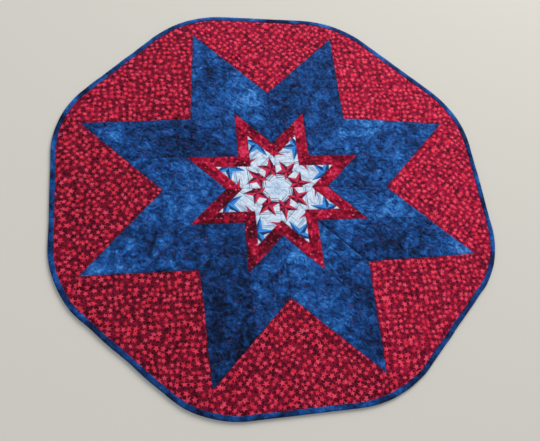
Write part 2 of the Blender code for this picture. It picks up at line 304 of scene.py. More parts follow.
@dataclass(frozen=True)
class StarPlan:
    """The pieced star, as finished sizes between seams."""

    white_side: float = 58.0
    red_width: float = 18.8
    blue_width: float = 72.3

    def side(self, *widths: float) -> float:
        """Return the diamonds' side once strips of these widths are sewn on: side + sum / sin 45."""
        return self.white_side + sum(widths) / np.sin(np.radians(ARM_ANGLE))

    def even(self, side: float) -> tuple[np.ndarray, np.ndarray]:
        """Lay out an even star of diamonds.

        Tip i is 2 side cos(22.5) from the middle at 45 (i + 1/2) degrees, notch i is side at 45 (i + 1).

        Args:
            side: The side of each diamond.

        Returns:
            The tips and the notches.
        """
        arm = np.arange(ARMS)
        tip_radius = 2.0 * side * np.cos(np.radians(ARM_ANGLE / 2))
        return polar(tip_radius, ARM_ANGLE * (arm + 0.5)), polar(side, ARM_ANGLE * (arm + 1))

    def outer(self) -> tuple[np.ndarray, np.ndarray]:
        """Move each corner of the navy star outward by its drift, and turn it about the middle.

        Returns:
            The tips and the notches.
        """
        tips, notches = self.even(self.side(self.red_width, self.blue_width))
        tip_moves = np.array([(arm.tip_drift, arm.tip_turn) for arm in UNEVEN_ARMS])
        notch_moves = np.array([(arm.notch_drift, arm.notch_turn) for arm in UNEVEN_ARMS])
        moved = []
        for points, moves in ((tips, tip_moves), (notches, notch_moves)):
            outward = points + points / np.abs(points) * moves[:, 0]
            moved.append(outward * polar(1.0, moves[:, 1]))
        return moved[0], moved[1]

    def strips(self, arm: int, inner: tuple, outer: tuple) -> tuple[np.ndarray, np.ndarray]:
        """Find the corners of an arm's two strips between an inner and an outer star.

        The seam between them runs from the inner notch before the arm through the inner tip, as far as it
        crosses the outer star's edge: a + (b - a) ((c - a) x (d - c)) / ((b - a) x (d - c)).

        Args:
            arm: The arm's index.
            inner: Tips and notches of the inner star.
            outer: Tips and notches of the outer star.

        Returns:
            The first strip's four corners and the second's.
        """
        before = (arm - 1) % ARMS
        start, tip = inner[1][before], inner[0][arm]
        edge = outer[1][arm] - outer[0][arm]
        end = start + (tip - start) * cross(outer[0][arm] - start, edge) / cross(tip - start, edge)
        first = np.array([tip, end, outer[1][arm], inner[1][arm]])
        second = np.array([start, outer[1][before], outer[0][arm], end])
        return first, second


@dataclass(frozen=True)
class EdgePlan:
    """The octagon's bound edge: eight nearly straight sides and eight arcs."""

    side_distance: float = 357.0
    wall: float = 2.6
    width: float = 8.3
    lip_depth: float = 8.9
    coarse_pitch: float = 12.0

    def line(self, pitch: float) -> tuple[np.ndarray, np.ndarray, list[int]]:
        """Walk round the edge counter-clockwise.

        Sides i - 1 and i, at distances a and b along their normals m and n, meet at
        ((a n.y - b m.y), (b m.x - a n.x)) / (m x n). The arc of radius r between them has its centre
        r / cos(half the turn) back from there.

        Args:
            pitch: The longest step.

        Returns:
            The places, the inward normals there, and the index of each corner's middle.
        """
        angles = ARM_ANGLE * (np.arange(ARMS) + 1) + np.array([arm.side_turn for arm in UNEVEN_ARMS])
        reaches = self.side_distance + np.array([arm.side_drift for arm in UNEVEN_ARMS])
        arcs, normals = [], []
        for index, arm in enumerate(UNEVEN_ARMS):
            before = (index - 1) % ARMS
            turn = (angles[index] - angles[before]) % 360.0
            m, n = polar(1.0, angles[before]), polar(1.0, angles[index])
            a, b = reaches[before], reaches[index]
            sharp = complex(a * n.imag - b * m.imag, b * m.real - a * n.real) / cross(m, n)
            back = arm.corner_radius / np.cos(np.radians(turn / 2))
            centre = sharp - polar(back, angles[before] + turn / 2)
            steps = 2 * int(np.ceil(arm.corner_radius * np.radians(turn) / pitch / 2))
            outward = polar(1.0, angles[before] + turn * np.linspace(0.0, 1.0, steps + 1))
            arcs.append(centre + arm.corner_radius * outward)
            normals.append(-outward)
        places, inward, middles, count = [], [], [], 0
        for index in range(ARMS):
            after = arcs[(index + 1) % ARMS][0]
            steps = int(np.ceil(abs(after - arcs[index][-1]) / pitch))
            shares = np.arange(1, steps) / steps
            side = arcs[index][-1] + (after - arcs[index][-1]) * shares
            middles.append(count + (len(arcs[index]) - 1) // 2)
            places.extend((arcs[index], side))
            inward.extend((normals[index], np.full(len(side), normals[index][-1])))
            count += len(arcs[index]) + len(side)
        return np.concatenate(places), np.concatenate(inward), middles

    def outline(self) -> np.ndarray:
        """Return the edge in coarse steps."""
        return self.line(self.coarse_pitch)[0]

    def depth(self, place: np.ndarray) -> np.ndarray:
        """Return how far places are from the edge."""
        outline = self.outline()
        return distance_to_line(place, np.append(outline, outline[0]))


@dataclass(frozen=True)
class Wave:
    """One slow wave of the whole topper."""

    length: float
    direction: float
    phase: float
    share: float


@dataclass(frozen=True)
class Crease:
    """One crease pressed across the quilting, between two places, with how deep and how wide it is."""

    start: complex
    end: complex
    depth: float
    width: float

    def share(self, place: np.ndarray, narrowing: float = 1.0) -> np.ndarray:
        """Return e^-(distance / (narrowing width))^2."""
        distance = distance_to_line(place, np.array([self.start, self.end]))
        return np.exp(-((distance / (narrowing * self.width)) ** 2))


@dataclass(frozen=True)
class Spots:
    """Places on the cloth, how far up a swirl's dome each is, and its distances from three lines.

    The lines are the nearest stitches, the nearest seam and the topper's edge.
    """

    place: np.ndarray
    dome: np.ndarray
    stitched: np.ndarray
    seam: np.ndarray
    edge: np.ndarray


@dataclass(frozen=True)
class Quilting:
    """The free-motion quilting: one line of stitches for each row of swirls, and the relief it leaves.

    Every swirl is a double spiral, which winds in to its middle and out again, and a curve leads from
    its end to the next swirl's start.
    """

    pitch: float = 24.0
    shift: float = 5.0
    reach: int = 18
    spiral_radius: float = 11.0
    spiral_points: int = 33
    spiral_crowding: float = 0.62
    end_angle: float = 35.0
    squeeze: float = 0.24
    link_points: int = 7
    link_lead: float = 4.0
    link_reach: float = 0.35
    puff_reach: float = 0.6
    puff_rise: float = 1.35
    groove: float = 1.75
    groove_width: float = 1.6
    crumple: float = 0.09
    crumple_lengths: tuple[float, ...] = (5.1, 6.3, 7.4, 8.8, 10.6, 13.1)
    crumple_rest: float = 0.55
    crumple_reach: float = 1.5
    wave_rise: float = 0.35
    wave_end: tuple[float, float] = (270.0, 330.0)
    seam_top: float = 3.2
    seam_softness: float = 0.8
    seam_reach: float = 7.0
    ditch: float = 0.55
    ditch_width: float = 1.7
    allowance: float = 0.15
    allowance_edge: tuple[float, float] = (5.0, 7.0)
    least_lift: float = 0.1
    lip_lift: float = 0.08
    lip_fade: tuple[float, float] = (8.6, 15.0)
    # The shade painted into tight folds: its width at stitches and seams, how much a dome opens it, how dark
    # creases get.
    fold_width: float = 1.1
    fold_opening: float = 0.8
    crease_shade: float = 1.3
    darkest_crease: float = 2.0
    crease_narrowing: float = 0.7
    waves: tuple[Wave, ...] = (
        Wave(390.0, 15.0, 40.0, 0.6),
        Wave(460.0, 100.0, 70.0, 0.5),
        Wave(265.0, -45.0, 0.0, 0.4),
    )
    creases: tuple[Crease, ...] = (
        Crease(-249 - 74j, -208 - 87j, 1.3, 4.5),
        Crease(-198 - 72j, -209 - 110j, 1.7, 6.0),
        Crease(-193 - 64j, -202 - 84j, -0.9, 2.5),
        Crease(62 - 62j, 130 - 130j, 1.5, 2.4),
        Crease(-38 - 150j, -22 - 196j, 0.4, 6.0),
        Crease(2 + 118j, 196j, 0.7, 2.2),
        Crease(-2 - 112j, -192j, 0.6, 2.2),
    )

    def site(self, column: np.ndarray, row: np.ndarray) -> np.ndarray:
        """Find a swirl's middle: its place on a triangular layout, moved by up to half of shift.

        Args:
            column: The swirl's column.
            row: Its row.

        Returns:
            The middle.
        """
        even_x = (column + 0.5 * (row % 2)) * self.pitch
        even_y = row * self.pitch * np.sqrt(3) / 2
        x = even_x + (uneven(column, row, Chance.SITE_X) - 0.5) * self.shift
        return x + 1j * (even_y + (uneven(column, row, Chance.SITE_Y) - 0.5) * self.shift)

    def swirl(self, column: np.ndarray, row: np.ndarray, t: np.ndarray) -> np.ndarray:
        """Trace a swirl from its middle, where t runs from -1 to 1.

        w = t R e^(i(end + hand 2 pi turns (|t| - 1))), then squeezed to w + k e^(2i way) conj(w), which
        makes its rings slightly oval. R is 0.84 to 1.18 of the spiral's radius and turns 0.62 to 0.96.
        Size, turns, end and squeeze are each swirl's own.

        Args:
            column: The swirls' columns.
            row: Their rows.
            t: How far along the swirl.

        Returns:
            The steps from the middles.
        """
        hand = np.where((column + row) % 2 == 0, 1.0, -1.0)
        end = -hand * self.end_angle + 2 * self.end_angle * (uneven(column, row, Chance.END) - 0.5)
        radius = self.spiral_radius * (0.84 + 0.34 * uneven(column, row, Chance.RADIUS))
        turns = 0.62 + 0.34 * uneven(column, row, Chance.TURNS)
        step = t * polar(radius, end) * np.exp(1j * hand * 2 * np.pi * turns * (np.abs(t) - 1.0))
        way = polar(1.0, 360.0 * uneven(column, row, Chance.SQUEEZE_WAY))
        return step + self.squeeze * uneven(column, row, Chance.SQUEEZE) * way * np.conj(step)

    def path(self, column: np.ndarray, row: np.ndarray) -> np.ndarray:
        """Trace the stitched line of each swirl and its curve to the next one.

        The curve is a cubic one whose inner points lie along the headings at both ends.

        Args:
            column: The swirls' columns.
            row: The swirls' rows.

        Returns:
            The line's points along the first axis.
        """
        others = [1] * np.ndim(column)
        middle, after = self.site(column, row), self.site(column + 1, row)
        even = np.linspace(-1.0, 1.0, self.spiral_points)
        t = (np.sign(even) * np.abs(even) ** self.spiral_crowding).reshape(-1, *others)
        spiral = middle + self.swirl(column, row, t)
        start, end = middle + self.swirl(column, row, 1.0), after + self.swirl(column + 1, row, -1.0)
        leaving = start - middle - self.swirl(column, row, 0.98)
        coming = after + self.swirl(column + 1, row, -0.98) - end
        lead = self.link_lead + self.link_reach * np.abs(end - start)
        leaving, coming = (way / np.abs(way) * lead for way in (leaving, coming))
        s = (np.arange(1, self.link_points + 1) / self.link_points).reshape(-1, *others)
        inner = 3 * (1 - s) ** 2 * s * (start + leaving) + 3 * (1 - s) * s**2 * (end - coming)
        return np.concatenate((spiral, (1 - s) ** 3 * start + inner + s**3 * end))

    def near_swirls(self, place: np.ndarray) -> list[tuple[np.ndarray, np.ndarray]]:
        """Find the nine swirls round each place.

        Args:
            place: The places.

        Returns:
            Nine pairs of columns and rows.
        """
        found = []
        nearest_row = np.round(place.imag / (self.pitch * np.sqrt(3) / 2))
        for row in (nearest_row - 1, nearest_row, nearest_row + 1):
            nearest = np.round(place.real / self.pitch - 0.5 * (row % 2))
            found.extend((nearest + side, row) for side in (-1, 0, 1))
        return found

    def stitch_distance(self, place: np.ndarray) -> np.ndarray:
        """Measure how far each place is from the nearest stitched line.

        Args:
            place: The places.

        Returns:
            The distances.
        """
        nearest = np.full(place.shape, 1e9)
        for column, row in self.near_swirls(place):
            nearest = np.minimum(nearest, distance_to_line(place, self.path(column, row)))
        return nearest

    def dome(self, place: np.ndarray) -> np.ndarray:
        """Work out how the cloth domes over each swirl, by its own share from 0.6 to 1.

        It is the greatest share (1 - (distance / reach)^2) of the swirls.

        Args:
            place: The places.

        Returns:
            Shares from 0 to 1.
        """
        best = np.zeros(place.shape)
        for column, row in self.near_swirls(place):
            distance = np.abs(place - self.site(column, row)) / (self.puff_reach * self.pitch)
            own = 1.0 - 0.4 * uneven(column, row, Chance.DOME)
            best = np.maximum(best, own * (1.0 - distance**2))
        return best

    def swell(self, spots: Spots) -> np.ndarray:
        """Work out the slow shape of the cloth.

        Rise times the dome, plus the waves' sum of share sin(2 pi travel / length + phase), which dies
        out towards the edge, less each crease's depth times its share.

        Args:
            spots: The places.

        Returns:
            The height over a seam's.
        """
        place = spots.place
        rise = np.zeros(place.shape)
        for wave in self.waves:
            travel = dot(place, polar(1.0, wave.direction)) / wave.length
            rise += wave.share * np.sin(2 * np.pi * travel + np.radians(wave.phase))
        fading = 1.0 - smooth_step(*self.wave_end, np.abs(place))
        height = self.puff_rise * spots.dome + self.wave_rise * rise * fading
        for crease in self.creases:
            height -= crease.depth * crease.share(place)
        return height

    def ruffle(self, place: np.ndarray) -> np.ndarray:
        """Work out the small wrinkles that the stitching draws in.

        Each of six waves is sin(2 pi travel / length + 1.9 sin(2 pi side travel / (1.6 length))), so its
        crests wander, and the lengths run from 5 to 13 mm.

        Args:
            place: The places.

        Returns:
            Heights from about -1 to 1.
        """
        total = np.zeros(place.shape)
        for index, length in enumerate(self.crumple_lengths):
            way = polar(1.0, GOLDEN_ANGLE * index + 11.0)
            side = 2 * np.pi * dot(place, way * 1j) / (1.6 * length)
            crest = np.sin(2 * np.pi * dot(place, way) / length + 1.9 * np.sin(side + index))
            total += crest * length / self.crumple_lengths[-1]
        return total / 2.2

    def height(self, spots: Spots, softness: float = 1.0) -> np.ndarray:
        """Work out the top face.

        The swell, plus the puff between lines of stitches, groove (1 - e^-(distance / width)^2), half as
        high on a dome, plus the wrinkles, stronger beside a stitch, less a ditch e^-(distance / width)^2
        at a seam, plus the seam allowance's rise beside it. All of it fades under the binding's lip.
        Puff and wrinkles have one softness at every seam, and the cloth's own inside.

        Args:
            spots: The places.
            softness: The share of the relief that shows in this cloth.

        Returns:
            Heights above the table.
        """
        stitched, seam = spots.stitched, spots.seam
        further = softness - self.seam_softness
        own = self.seam_softness + further * smooth_step(0.0, self.seam_reach, seam)
        drawn = own * (1.0 - 0.5 * spots.dome)
        puff = self.groove * (1.0 - np.exp(-((stitched / self.groove_width) ** 2))) * drawn
        nearness = self.crumple_rest + np.exp(-stitched / self.crumple_reach)
        wrinkle = self.crumple * self.ruffle(spots.place) * nearness * own
        allowance = self.allowance * (1.0 - smooth_step(*self.allowance_edge, seam))
        ditch = self.ditch * np.exp(-((seam / self.ditch_width) ** 2)) - allowance
        lift = np.maximum(self.least_lift, self.swell(spots) + puff + wrinkle - ditch)
        shown = smooth_step(*self.lip_fade, spots.edge)
        return self.seam_top + self.lip_lift + (lift - self.lip_lift) * shown

    def painted_fold_shade(self, spots: Spots, softness: float) -> np.ndarray:
        """Work out the shade painted into the colour of tight folds, where the mesh is too coarse to shade
        them.

        At a stitch it is softness (1 - opening dome) e^-(distance / width)^2, at a seam softness
        e^-(distance / width)^2, and in a crease its depth's shade times its share, drawn narrower. The
        greatest of them counts.

        Args:
            spots: The places.
            softness: The share of the relief that shows in this cloth.

        Returns:
            Shares from 0 to about 2.
        """
        at_stitch, at_seam = (
            np.exp(-((distance / self.fold_width) ** 2)) for distance in (spots.stitched, spots.seam)
        )
        deepest = np.maximum((1.0 - self.fold_opening * spots.dome) * at_stitch, at_seam)
        share = softness * deepest
        for crease in self.creases:
            shade = min(self.darkest_crease, self.crease_shade * crease.depth)
            share = np.maximum(share, shade * crease.share(spots.place, self.crease_narrowing))
        return share


def drift(place: np.ndarray) -> np.ndarray:
    """Shift places in the plane, as sewn cloth never lies quite true.

    Three waves of 0.22 mm, e^(i a) sin(2 pi travel / length), 33, 47 and 71 mm long.

    Args:
        place: The places.

    Returns:
        The shifted places.
    """
    rise, lengths = 0.22, (33.0, 47.0, 71.0)
    moved = place.astype(complex)
    for index, length in enumerate(lengths):
        travel = 2 * np.pi * dot(place, polar(1.0, 67.0 * index + 20.0)) / length
        moved = moved + rise * polar(1.0, 101.0 * index) * np.sin(travel + index)
    return moved


def add_object(name: str, data: bpy.types.ID) -> bpy.types.Object:
    """Put a new object into the scene.

    Args:
        name: Its name.
        data: Its mesh, lamp or camera.

    Returns:
        The object.
    """
    item = bpy.data.objects.new(name, data)
    bpy.context.scene.collection.objects.link(item)
    return item


def make_piece(
    name: str,
    vertices: np.ndarray,
    faces: list[np.ndarray],
    material: Material,
    maps: dict[str, np.ndarray] | None = None,
    tones: dict[str, np.ndarray] | None = None,
) -> bpy.types.Object:
    """Put arrays into a mesh object that rides on the topper.

    Args:
        name: The piece's name.
        vertices: Places in millimetres, one row each.
        faces: Arrays of vertex indices, one row a face. Every array has its own number of corners.
        material: What the piece is made of.
        maps: UV maps by name, one row a vertex.
        tones: Float attributes by name, one value a vertex.

    Returns:
        The object.
    """
    mesh = bpy.data.meshes.new(name)
    corners = np.concatenate([block.ravel() for block in faces]).astype(np.int32)
    sizes = np.concatenate([np.full(len(block), block.shape[1]) for block in faces])
    starts = np.concatenate(([0], np.cumsum(sizes)[:-1])).astype(np.int32)
    mesh.vertices.add(len(vertices))
    mesh.vertices.foreach_set("co", (vertices * MM).astype(np.float32).ravel())
    mesh.loops.add(len(corners))
    mesh.loops.foreach_set("vertex_index", corners)
    mesh.polygons.add(len(sizes))
    mesh.polygons.foreach_set("loop_start", starts)
    mesh.update(calc_edges=True)
    mesh.validate()
    for map_name, places in (maps or {}).items():
        layer = mesh.uv_layers.new(name=map_name)
        layer.uv.foreach_set("vector", places[corners].astype(np.float32).ravel())
    for tone_name, values in (tones or {}).items():
        layer = mesh.attributes.new(tone_name, "FLOAT", "POINT")
        layer.data.foreach_set("value", values.astype(np.float32).ravel())
    mesh.shade_smooth()
    mesh.set_sharp_from_angle(angle=np.radians(SHARP_ANGLE))
    mesh.materials.append(material)
    item = add_object(name, mesh)
    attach(item, BODY)
    return item


def sheet_faces(rows: int, columns: int, closed: bool = False) -> np.ndarray:
    """Join a grid of vertices, numbered row by row, into quads.

    Args:
        rows: How many rows the grid has.
        columns: How many columns.
        closed: Whether the last row joins on to the first.

    Returns:
        Four vertex indices for each quad.
    """
    down = np.arange(rows if closed else rows - 1)[:, None]
    across = np.arange(columns - 1)[None, :]
    below = (down + 1) % rows
    corner = down * columns + across
    quads = (corner, below * columns + across, below * columns + across + 1, corner + 1)
    return np.stack(np.broadcast_arrays(*quads), axis=-1).reshape(-1, 4)


def rim_of(rows: int, columns: int) -> np.ndarray:
    """Walk round the edge of a grid of vertices, the way its quads turn.

    Args:
        rows: How many rows the grid has.
        columns: How many columns.

    Returns:
        The vertex indices.
    """
    left = np.arange(rows - 1) * columns
    bottom = (rows - 1) * columns + np.arange(columns - 1)
    right = np.arange(rows - 1, 0, -1) * columns + columns - 1
    top = np.arange(columns - 1, 0, -1)
    return np.concatenate((left, bottom, right, top))


@dataclass(frozen=True)
class Patch:
    """One cut piece of cloth: a grid of places in its finished outline, and how its print lies."""

    name: str
    cloth: Cloth
    outline: np.ndarray
    grid: np.ndarray
    print_turn: float
    print_shift: complex
    # The tone: the dye's own lightness on the strips, light painted from the window on the ground patches.
    tone: float = 0.0

    def flat_size(self) -> tuple[float, float, float]:
        """Measure the cloth flat.

        The rectangle is square to the longest edge, and the area is half the sum of p x q over the edges.

        Returns:
            The rectangle's two sides in metres and the area in square metres.
        """
        edges = np.roll(self.outline, -1) - self.outline
        way = edges[np.argmax(np.abs(edges))]
        turned = self.outline * np.conj(way / abs(way))
        area = 0.5 * abs(np.sum(cross(self.outline, np.roll(self.outline, -1))))
        return np.ptp(turned.real) * MM, np.ptp(turned.imag) * MM, area * MM * MM


@dataclass(frozen=True)
class Patchwork:
    """The pieced top: forty-eight patches of four cloths, seamed edge to edge."""

    star: StarPlan
    edge: EdgePlan
    quilting: Quilting
    seam_gap: float = 0.05
    star_cell: float = 1.35
    ground_cell: float = 2.0
    ground_rim: float = 5.5
    wall_gap: float = 0.2
    rim_points: int = 12
    underside: float = 2.1
    bolt_length: float = 900.0
    star_bolt_length: float = 700.0
    # Painted light: how much lighter the ground patches are painted on the window's side.
    painted_window_light: float = 0.12
    lip_line: tuple[float, float] = (12.0, 9.0)
    lip_push: float = 20.0

    def quad_grid(self, corners: np.ndarray) -> np.ndarray:
        """Fill a four-sided patch with places.

        P(u, v) = (1-u)(1-v) c0 + u(1-v) c1 + uv c2 + (1-u)v c3, with u and v from 0 to 1.

        Args:
            corners: The corners, counter-clockwise.

        Returns:
            A grid of places with u along its first axis.
        """
        c = inset(corners, self.seam_gap)
        u_steps = int(np.ceil(max(abs(c[1] - c[0]), abs(c[2] - c[3])) / self.star_cell))
        v_steps = int(np.ceil(max(abs(c[3] - c[0]), abs(c[2] - c[1])) / self.star_cell))
        u = np.linspace(0.0, 1.0, u_steps + 1)[:, None]
        v = np.linspace(0.0, 1.0, v_steps + 1)[None, :]
        return (1 - u) * (1 - v) * c[0] + u * (1 - v) * c[1] + u * v * c[2] + (1 - u) * v * c[3]

    def ground_grid(self, arm: int) -> tuple[np.ndarray, np.ndarray]:
        """Fill the ground patch in the notch after an arm.

        P(u, v) = (1-v) A(u) + v B(u), where A runs from tip to notch to tip at an even pace and B along
        the lip line between the corners' middles. Two more rows carry it under the binding.

        Args:
            arm: The arm's index.

        Returns:
            The outline's corners, counter-clockwise, and the grid of places.
        """
        tips, notches = self.star.outer()
        after = (arm + 1) % ARMS
        places, inward, middles = self.edge.line(self.ground_cell)
        last = middles[after] + (len(places) if middles[after] < middles[arm] else 0)
        span = np.arange(middles[arm], last + 1) % len(places)
        steps = 2 * int(np.ceil(abs(tips[arm] - notches[arm]) / self.ground_cell))
        u = np.linspace(0.0, 1.0, steps + 1)
        inner_line = np.interp(u, (0.0, 0.5, 1.0), (tips[arm], notches[arm], tips[after]))
        pace = np.linspace(0.0, 1.0, len(span))
        curves = [
            np.interp(u, pace, places[span] + inward[span] * depth)
            for depth in (self.edge.lip_depth, self.ground_rim, self.edge.wall + self.wall_gap)
        ]
        rows = int(np.ceil(np.abs(curves[0] - inner_line).max() / self.ground_cell))
        v = np.linspace(0.0, 1.0, rows + 1)[:, None]
        grid = np.concatenate(((1 - v) * inner_line + v * curves[0], curves[1][None], curves[2][None]))
        rim = curves[2][:: len(u) // self.rim_points]
        return np.concatenate(((notches[arm], tips[arm]), rim, (tips[after],))), grid

    def patches(self) -> list[Patch]:
        """Cut every patch, arm by arm, and name it for the node that it stands for.

        The ground patches get painted light: lighter on the window's side, by the cosine of their angle from
        it.

        Returns:
            The forty-eight patches.
        """
        plan = self.star
        white = plan.even(plan.white_side)
        red = plan.even(plan.side(plan.red_width))
        navy = plan.outer()
        made = []
        for arm, own in enumerate(UNEVEN_ARMS):
            number, before = arm + 1, (arm - 1) % ARMS
            turned = -ARM_ANGLE * arm
            diamond = np.array([0j, white[1][before], white[0][arm], white[1][arm]])
            cuts = [("white_diamond", diamond, Cloth.WHITE_PRINT, turned, 0j, 0.0)]
            for colour, inner, outer, cloth, tones in (
                ("red", white, red, Cloth.RED_TONAL, (own.first_red_tone, own.second_red_tone)),
                ("blue", red, navy, Cloth.NAVY_MOTTLE, (own.first_tone, own.second_tone)),
            ):
                for share, corners in enumerate(plan.strips(arm, inner, outer)):
                    name = f"{colour}_strip_{('first', 'second')[share]}"
                    x, y = (uneven(arm, share, way) for way in (Chance.STRIP_X, Chance.STRIP_Y))
                    shift = self.bolt_length * (x + 1j * y)
                    cuts.append((name, corners, cloth, turned + 90 * share, shift, tones[share]))
            for name, corners, cloth, turn, shift, tone in cuts:
                grid = self.quad_grid(corners)
                made.append(Patch(f"{name}_{number}", cloth, corners, grid, turn, shift, tone))
            outline, grid = self.ground_grid(arm)
            x, y = (uneven(arm, 3, way) for way in (Chance.GROUND_X, Chance.GROUND_Y))
            shift = self.star_bolt_length * (x + 1j * y)
            # Painted light: the ground patch's tone follows the cosine of its angle from the window.
            tone = self.painted_window_light * np.cos(np.radians(ARM_ANGLE * (arm + 1) - WINDOW_ANGLE))
            name = f"ground_patch_{number}"
            made.append(Patch(name, Cloth.STAR_PRINT, outline, grid, turned, shift, tone))
        return made

    def tone_at(self, place: np.ndarray, patch: Patch) -> np.ndarray:
        """Work out how light the cloth is, by its dye and, on the ground patches, by painted light.

        It is the patch's own tone, painted window light on the ground patches, plus, on navy, each cloud's
        dyed tone e^-(distance / reach)^2.

        Args:
            place: The places.
            patch: The patch.

        Returns:
            Shares of the cloth's range, dark below nought.
        """
        tone = np.full(place.shape, patch.tone)
        for cloud in CLOUDS if patch.cloth is Cloth.NAVY_MOTTLE else ():
            distance = np.abs(place - complex(cloud.x, cloud.y))
            tone += cloud.tone * np.exp(-((distance / cloud.reach) ** 2))
        return tone

    def make(self, patch: Patch, materials: dict[Cloth, Material]) -> bpy.types.Object:
        """Make one patch: a top that follows the quilting, sides down the seams, a flat underside.

        The ground's outer side is no seam, so the distance from a seam grows by up to lip_push there.

        Args:
            patch: The patch.
            materials: The finishes by cloth.

        Returns:
            The object.
        """
        grid = patch.grid
        if cross(grid[1, 0] - grid[0, 0], grid[0, 1] - grid[0, 0]) < 0:
            grid = grid[::-1]
        place = grid.ravel()
        seam = distance_to_line(place, np.append(patch.outline, patch.outline[0]))
        depth = np.full(place.shape, FAR)
        if patch.cloth is Cloth.STAR_PRINT:
            depth = self.edge.depth(place)
            seam = np.minimum(seam + smooth_step(*self.lip_line, depth) * self.lip_push, FAR)
        quilting, softness = self.quilting, patch.cloth.softness()
        spots = Spots(place, quilting.dome(place), quilting.stitch_distance(place), seam, depth)
        top = quilting.height(spots, softness)
        # Painted shade: how much darker the colour is painted along stitches, seams and creases.
        painted_fold_shade = quilting.painted_fold_shade(spots, softness)
        moved = drift(place)
        rim = rim_of(*grid.shape)
        vertices = np.concatenate((points(moved, top), points(moved[rim], self.underside)))
        lower = len(place) + np.arange(len(rim))
        walls = np.column_stack((rim, lower, np.roll(lower, -1), np.roll(rim, -1)))
        flat = np.concatenate((place, place[rim]))
        laid = flat * polar(1.0, patch.print_turn) + patch.print_shift
        item = make_piece(
            patch.name + "_cloth",
            vertices,
            [sheet_faces(*grid.shape), walls, lower[::-1][None, :]],
            materials[patch.cloth],
            {CLOTH_MAP: np.column_stack((laid.real, laid.imag))},
            {"tone": self.tone_at(flat, patch), "painted_fold_shade": np.concatenate((painted_fold_shade, painted_fold_shade[rim]))},
        )
        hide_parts(patch.name)
        width, length, area = patch.flat_size()
        return item


@dataclass(frozen=True)
class Threads:
    """The quilting thread: every stitch a short rounded bar, sunk at both ends under the needle holes.

    The row step and shift set how far the rows are apart in the length walked, so that their colours
    differ.
    """

    star: StarPlan
    edge: EdgePlan
    quilting: Quilting
    stitch_pitch: float = 3.1
    stitch_length: float = 2.7
    shoulder: float = 0.22
    radius: float = 0.24
    lift: float = 0.3
    sink: float = 0.35
    clearance: float = 15.5
    row_step: float = 5000.0
    row_shift: int = 40

    def stitches(self) -> tuple[np.ndarray, np.ndarray, np.ndarray]:
        """Cut every row's line into stitches of even length.

        A stitch starts where the length walked along the line is a multiple of the pitch.

        Returns:
            The stitches' starts, ends and the length walked so far.
        """
        quilting = self.quilting
        starts, ends, walked = [], [], []
        columns = np.arange(-quilting.reach, quilting.reach + 1)
        for row in range(-quilting.reach - 1, quilting.reach + 2):
            line = quilting.path(columns, np.full(columns.shape, row)).T.ravel()
            length = length_along(line)
            begin = np.arange(0.0, length[-1] - self.stitch_pitch, self.stitch_pitch)
            starts.append(np.interp(begin, length, line))
            ends.append(np.interp(begin + self.stitch_length, length, line))
            walked.append(begin + self.row_step * (row + self.row_shift))
        return np.concatenate(starts), np.concatenate(ends), np.concatenate(walked)

    def make(
        self, name: str, start: np.ndarray, end: np.ndarray, walked: np.ndarray, material: Material
    ) -> None:
        """Make one run of thread as a single piece.

        A stitch has a point at each end and a triangle of vertices a shoulder's share of its length from
        each, of the thread's radius. Its height follows the cloth's groove.

        Args:
            name: The piece's name.
            start: The stitches' starts.
            end: Their ends.
            walked: How far along the line each starts, which sets its colour.
            material: The thread's finish.
        """
        near, far = [self.shoulder] * 3, [1.0 - self.shoulder] * 3
        shares = np.array([0.0, *near, *far, 1.0])
        turns = np.radians([0.0, *(90.0, 210.0, 330.0) * 2, 0.0])
        radii = np.array([0.0, *[self.radius] * 6, 0.0])
        heights = np.array([-self.sink, *[self.lift] * 6, -self.sink])
        side = 1j * (end - start) / np.abs(end - start)
        place = start[:, None] + (end - start)[:, None] * shares
        flat = np.zeros(place.shape)
        spots = Spots(place, self.quilting.dome(place), flat, flat + FAR, flat + FAR)
        z = self.quilting.height(spots) + heights + radii * np.sin(turns)
        moved = drift(place + side[:, None] * radii * np.cos(turns))
        tent = np.array([(0, 2, 1), (0, 3, 2), (0, 1, 3), (7, 4, 5), (7, 5, 6), (7, 6, 4)])
        tube = np.array([(1, 2, 5, 4), (2, 3, 6, 5), (3, 1, 4, 6)])
        base = 8 * np.arange(len(start))[:, None, None]
        faces = [(base + tent).reshape(-1, 3), (base + tube).reshape(-1, 4)]
        item = make_piece(name, points(moved, z), faces, material, None, {"walked": np.repeat(walked, 8)})
        LOG.info("%s: %d stitches", item.name, len(start))

    def build(self, spools: dict[Cloth, Material]) -> None:
        """Make one piece of thread for each cloth, split by the star's outlines.

        Args:
            spools: The thread's finish for each cloth.
        """
        start, end, walked = self.stitches()
        middle = (start + end) / 2
        kept = inside(middle, self.edge.outline()) & (self.edge.depth(middle) > self.clearance)
        stars = (
            (Cloth.WHITE_PRINT, self.star.even(self.star.white_side)),
            (Cloth.RED_TONAL, self.star.even(self.star.side(self.star.red_width))),
            (Cloth.NAVY_MOTTLE, self.star.outer()),
            (Cloth.STAR_PRINT, None),
        )
        for cloth, corners in stars:
            within = kept
            if corners is not None:
                within = kept & inside(middle, np.stack(corners, axis=1).ravel())
            kept = kept & ~within
            name = f"{cloth.value}_quilting_thread"
            self.make(name, start[within], end[within], walked[within], spools[cloth])


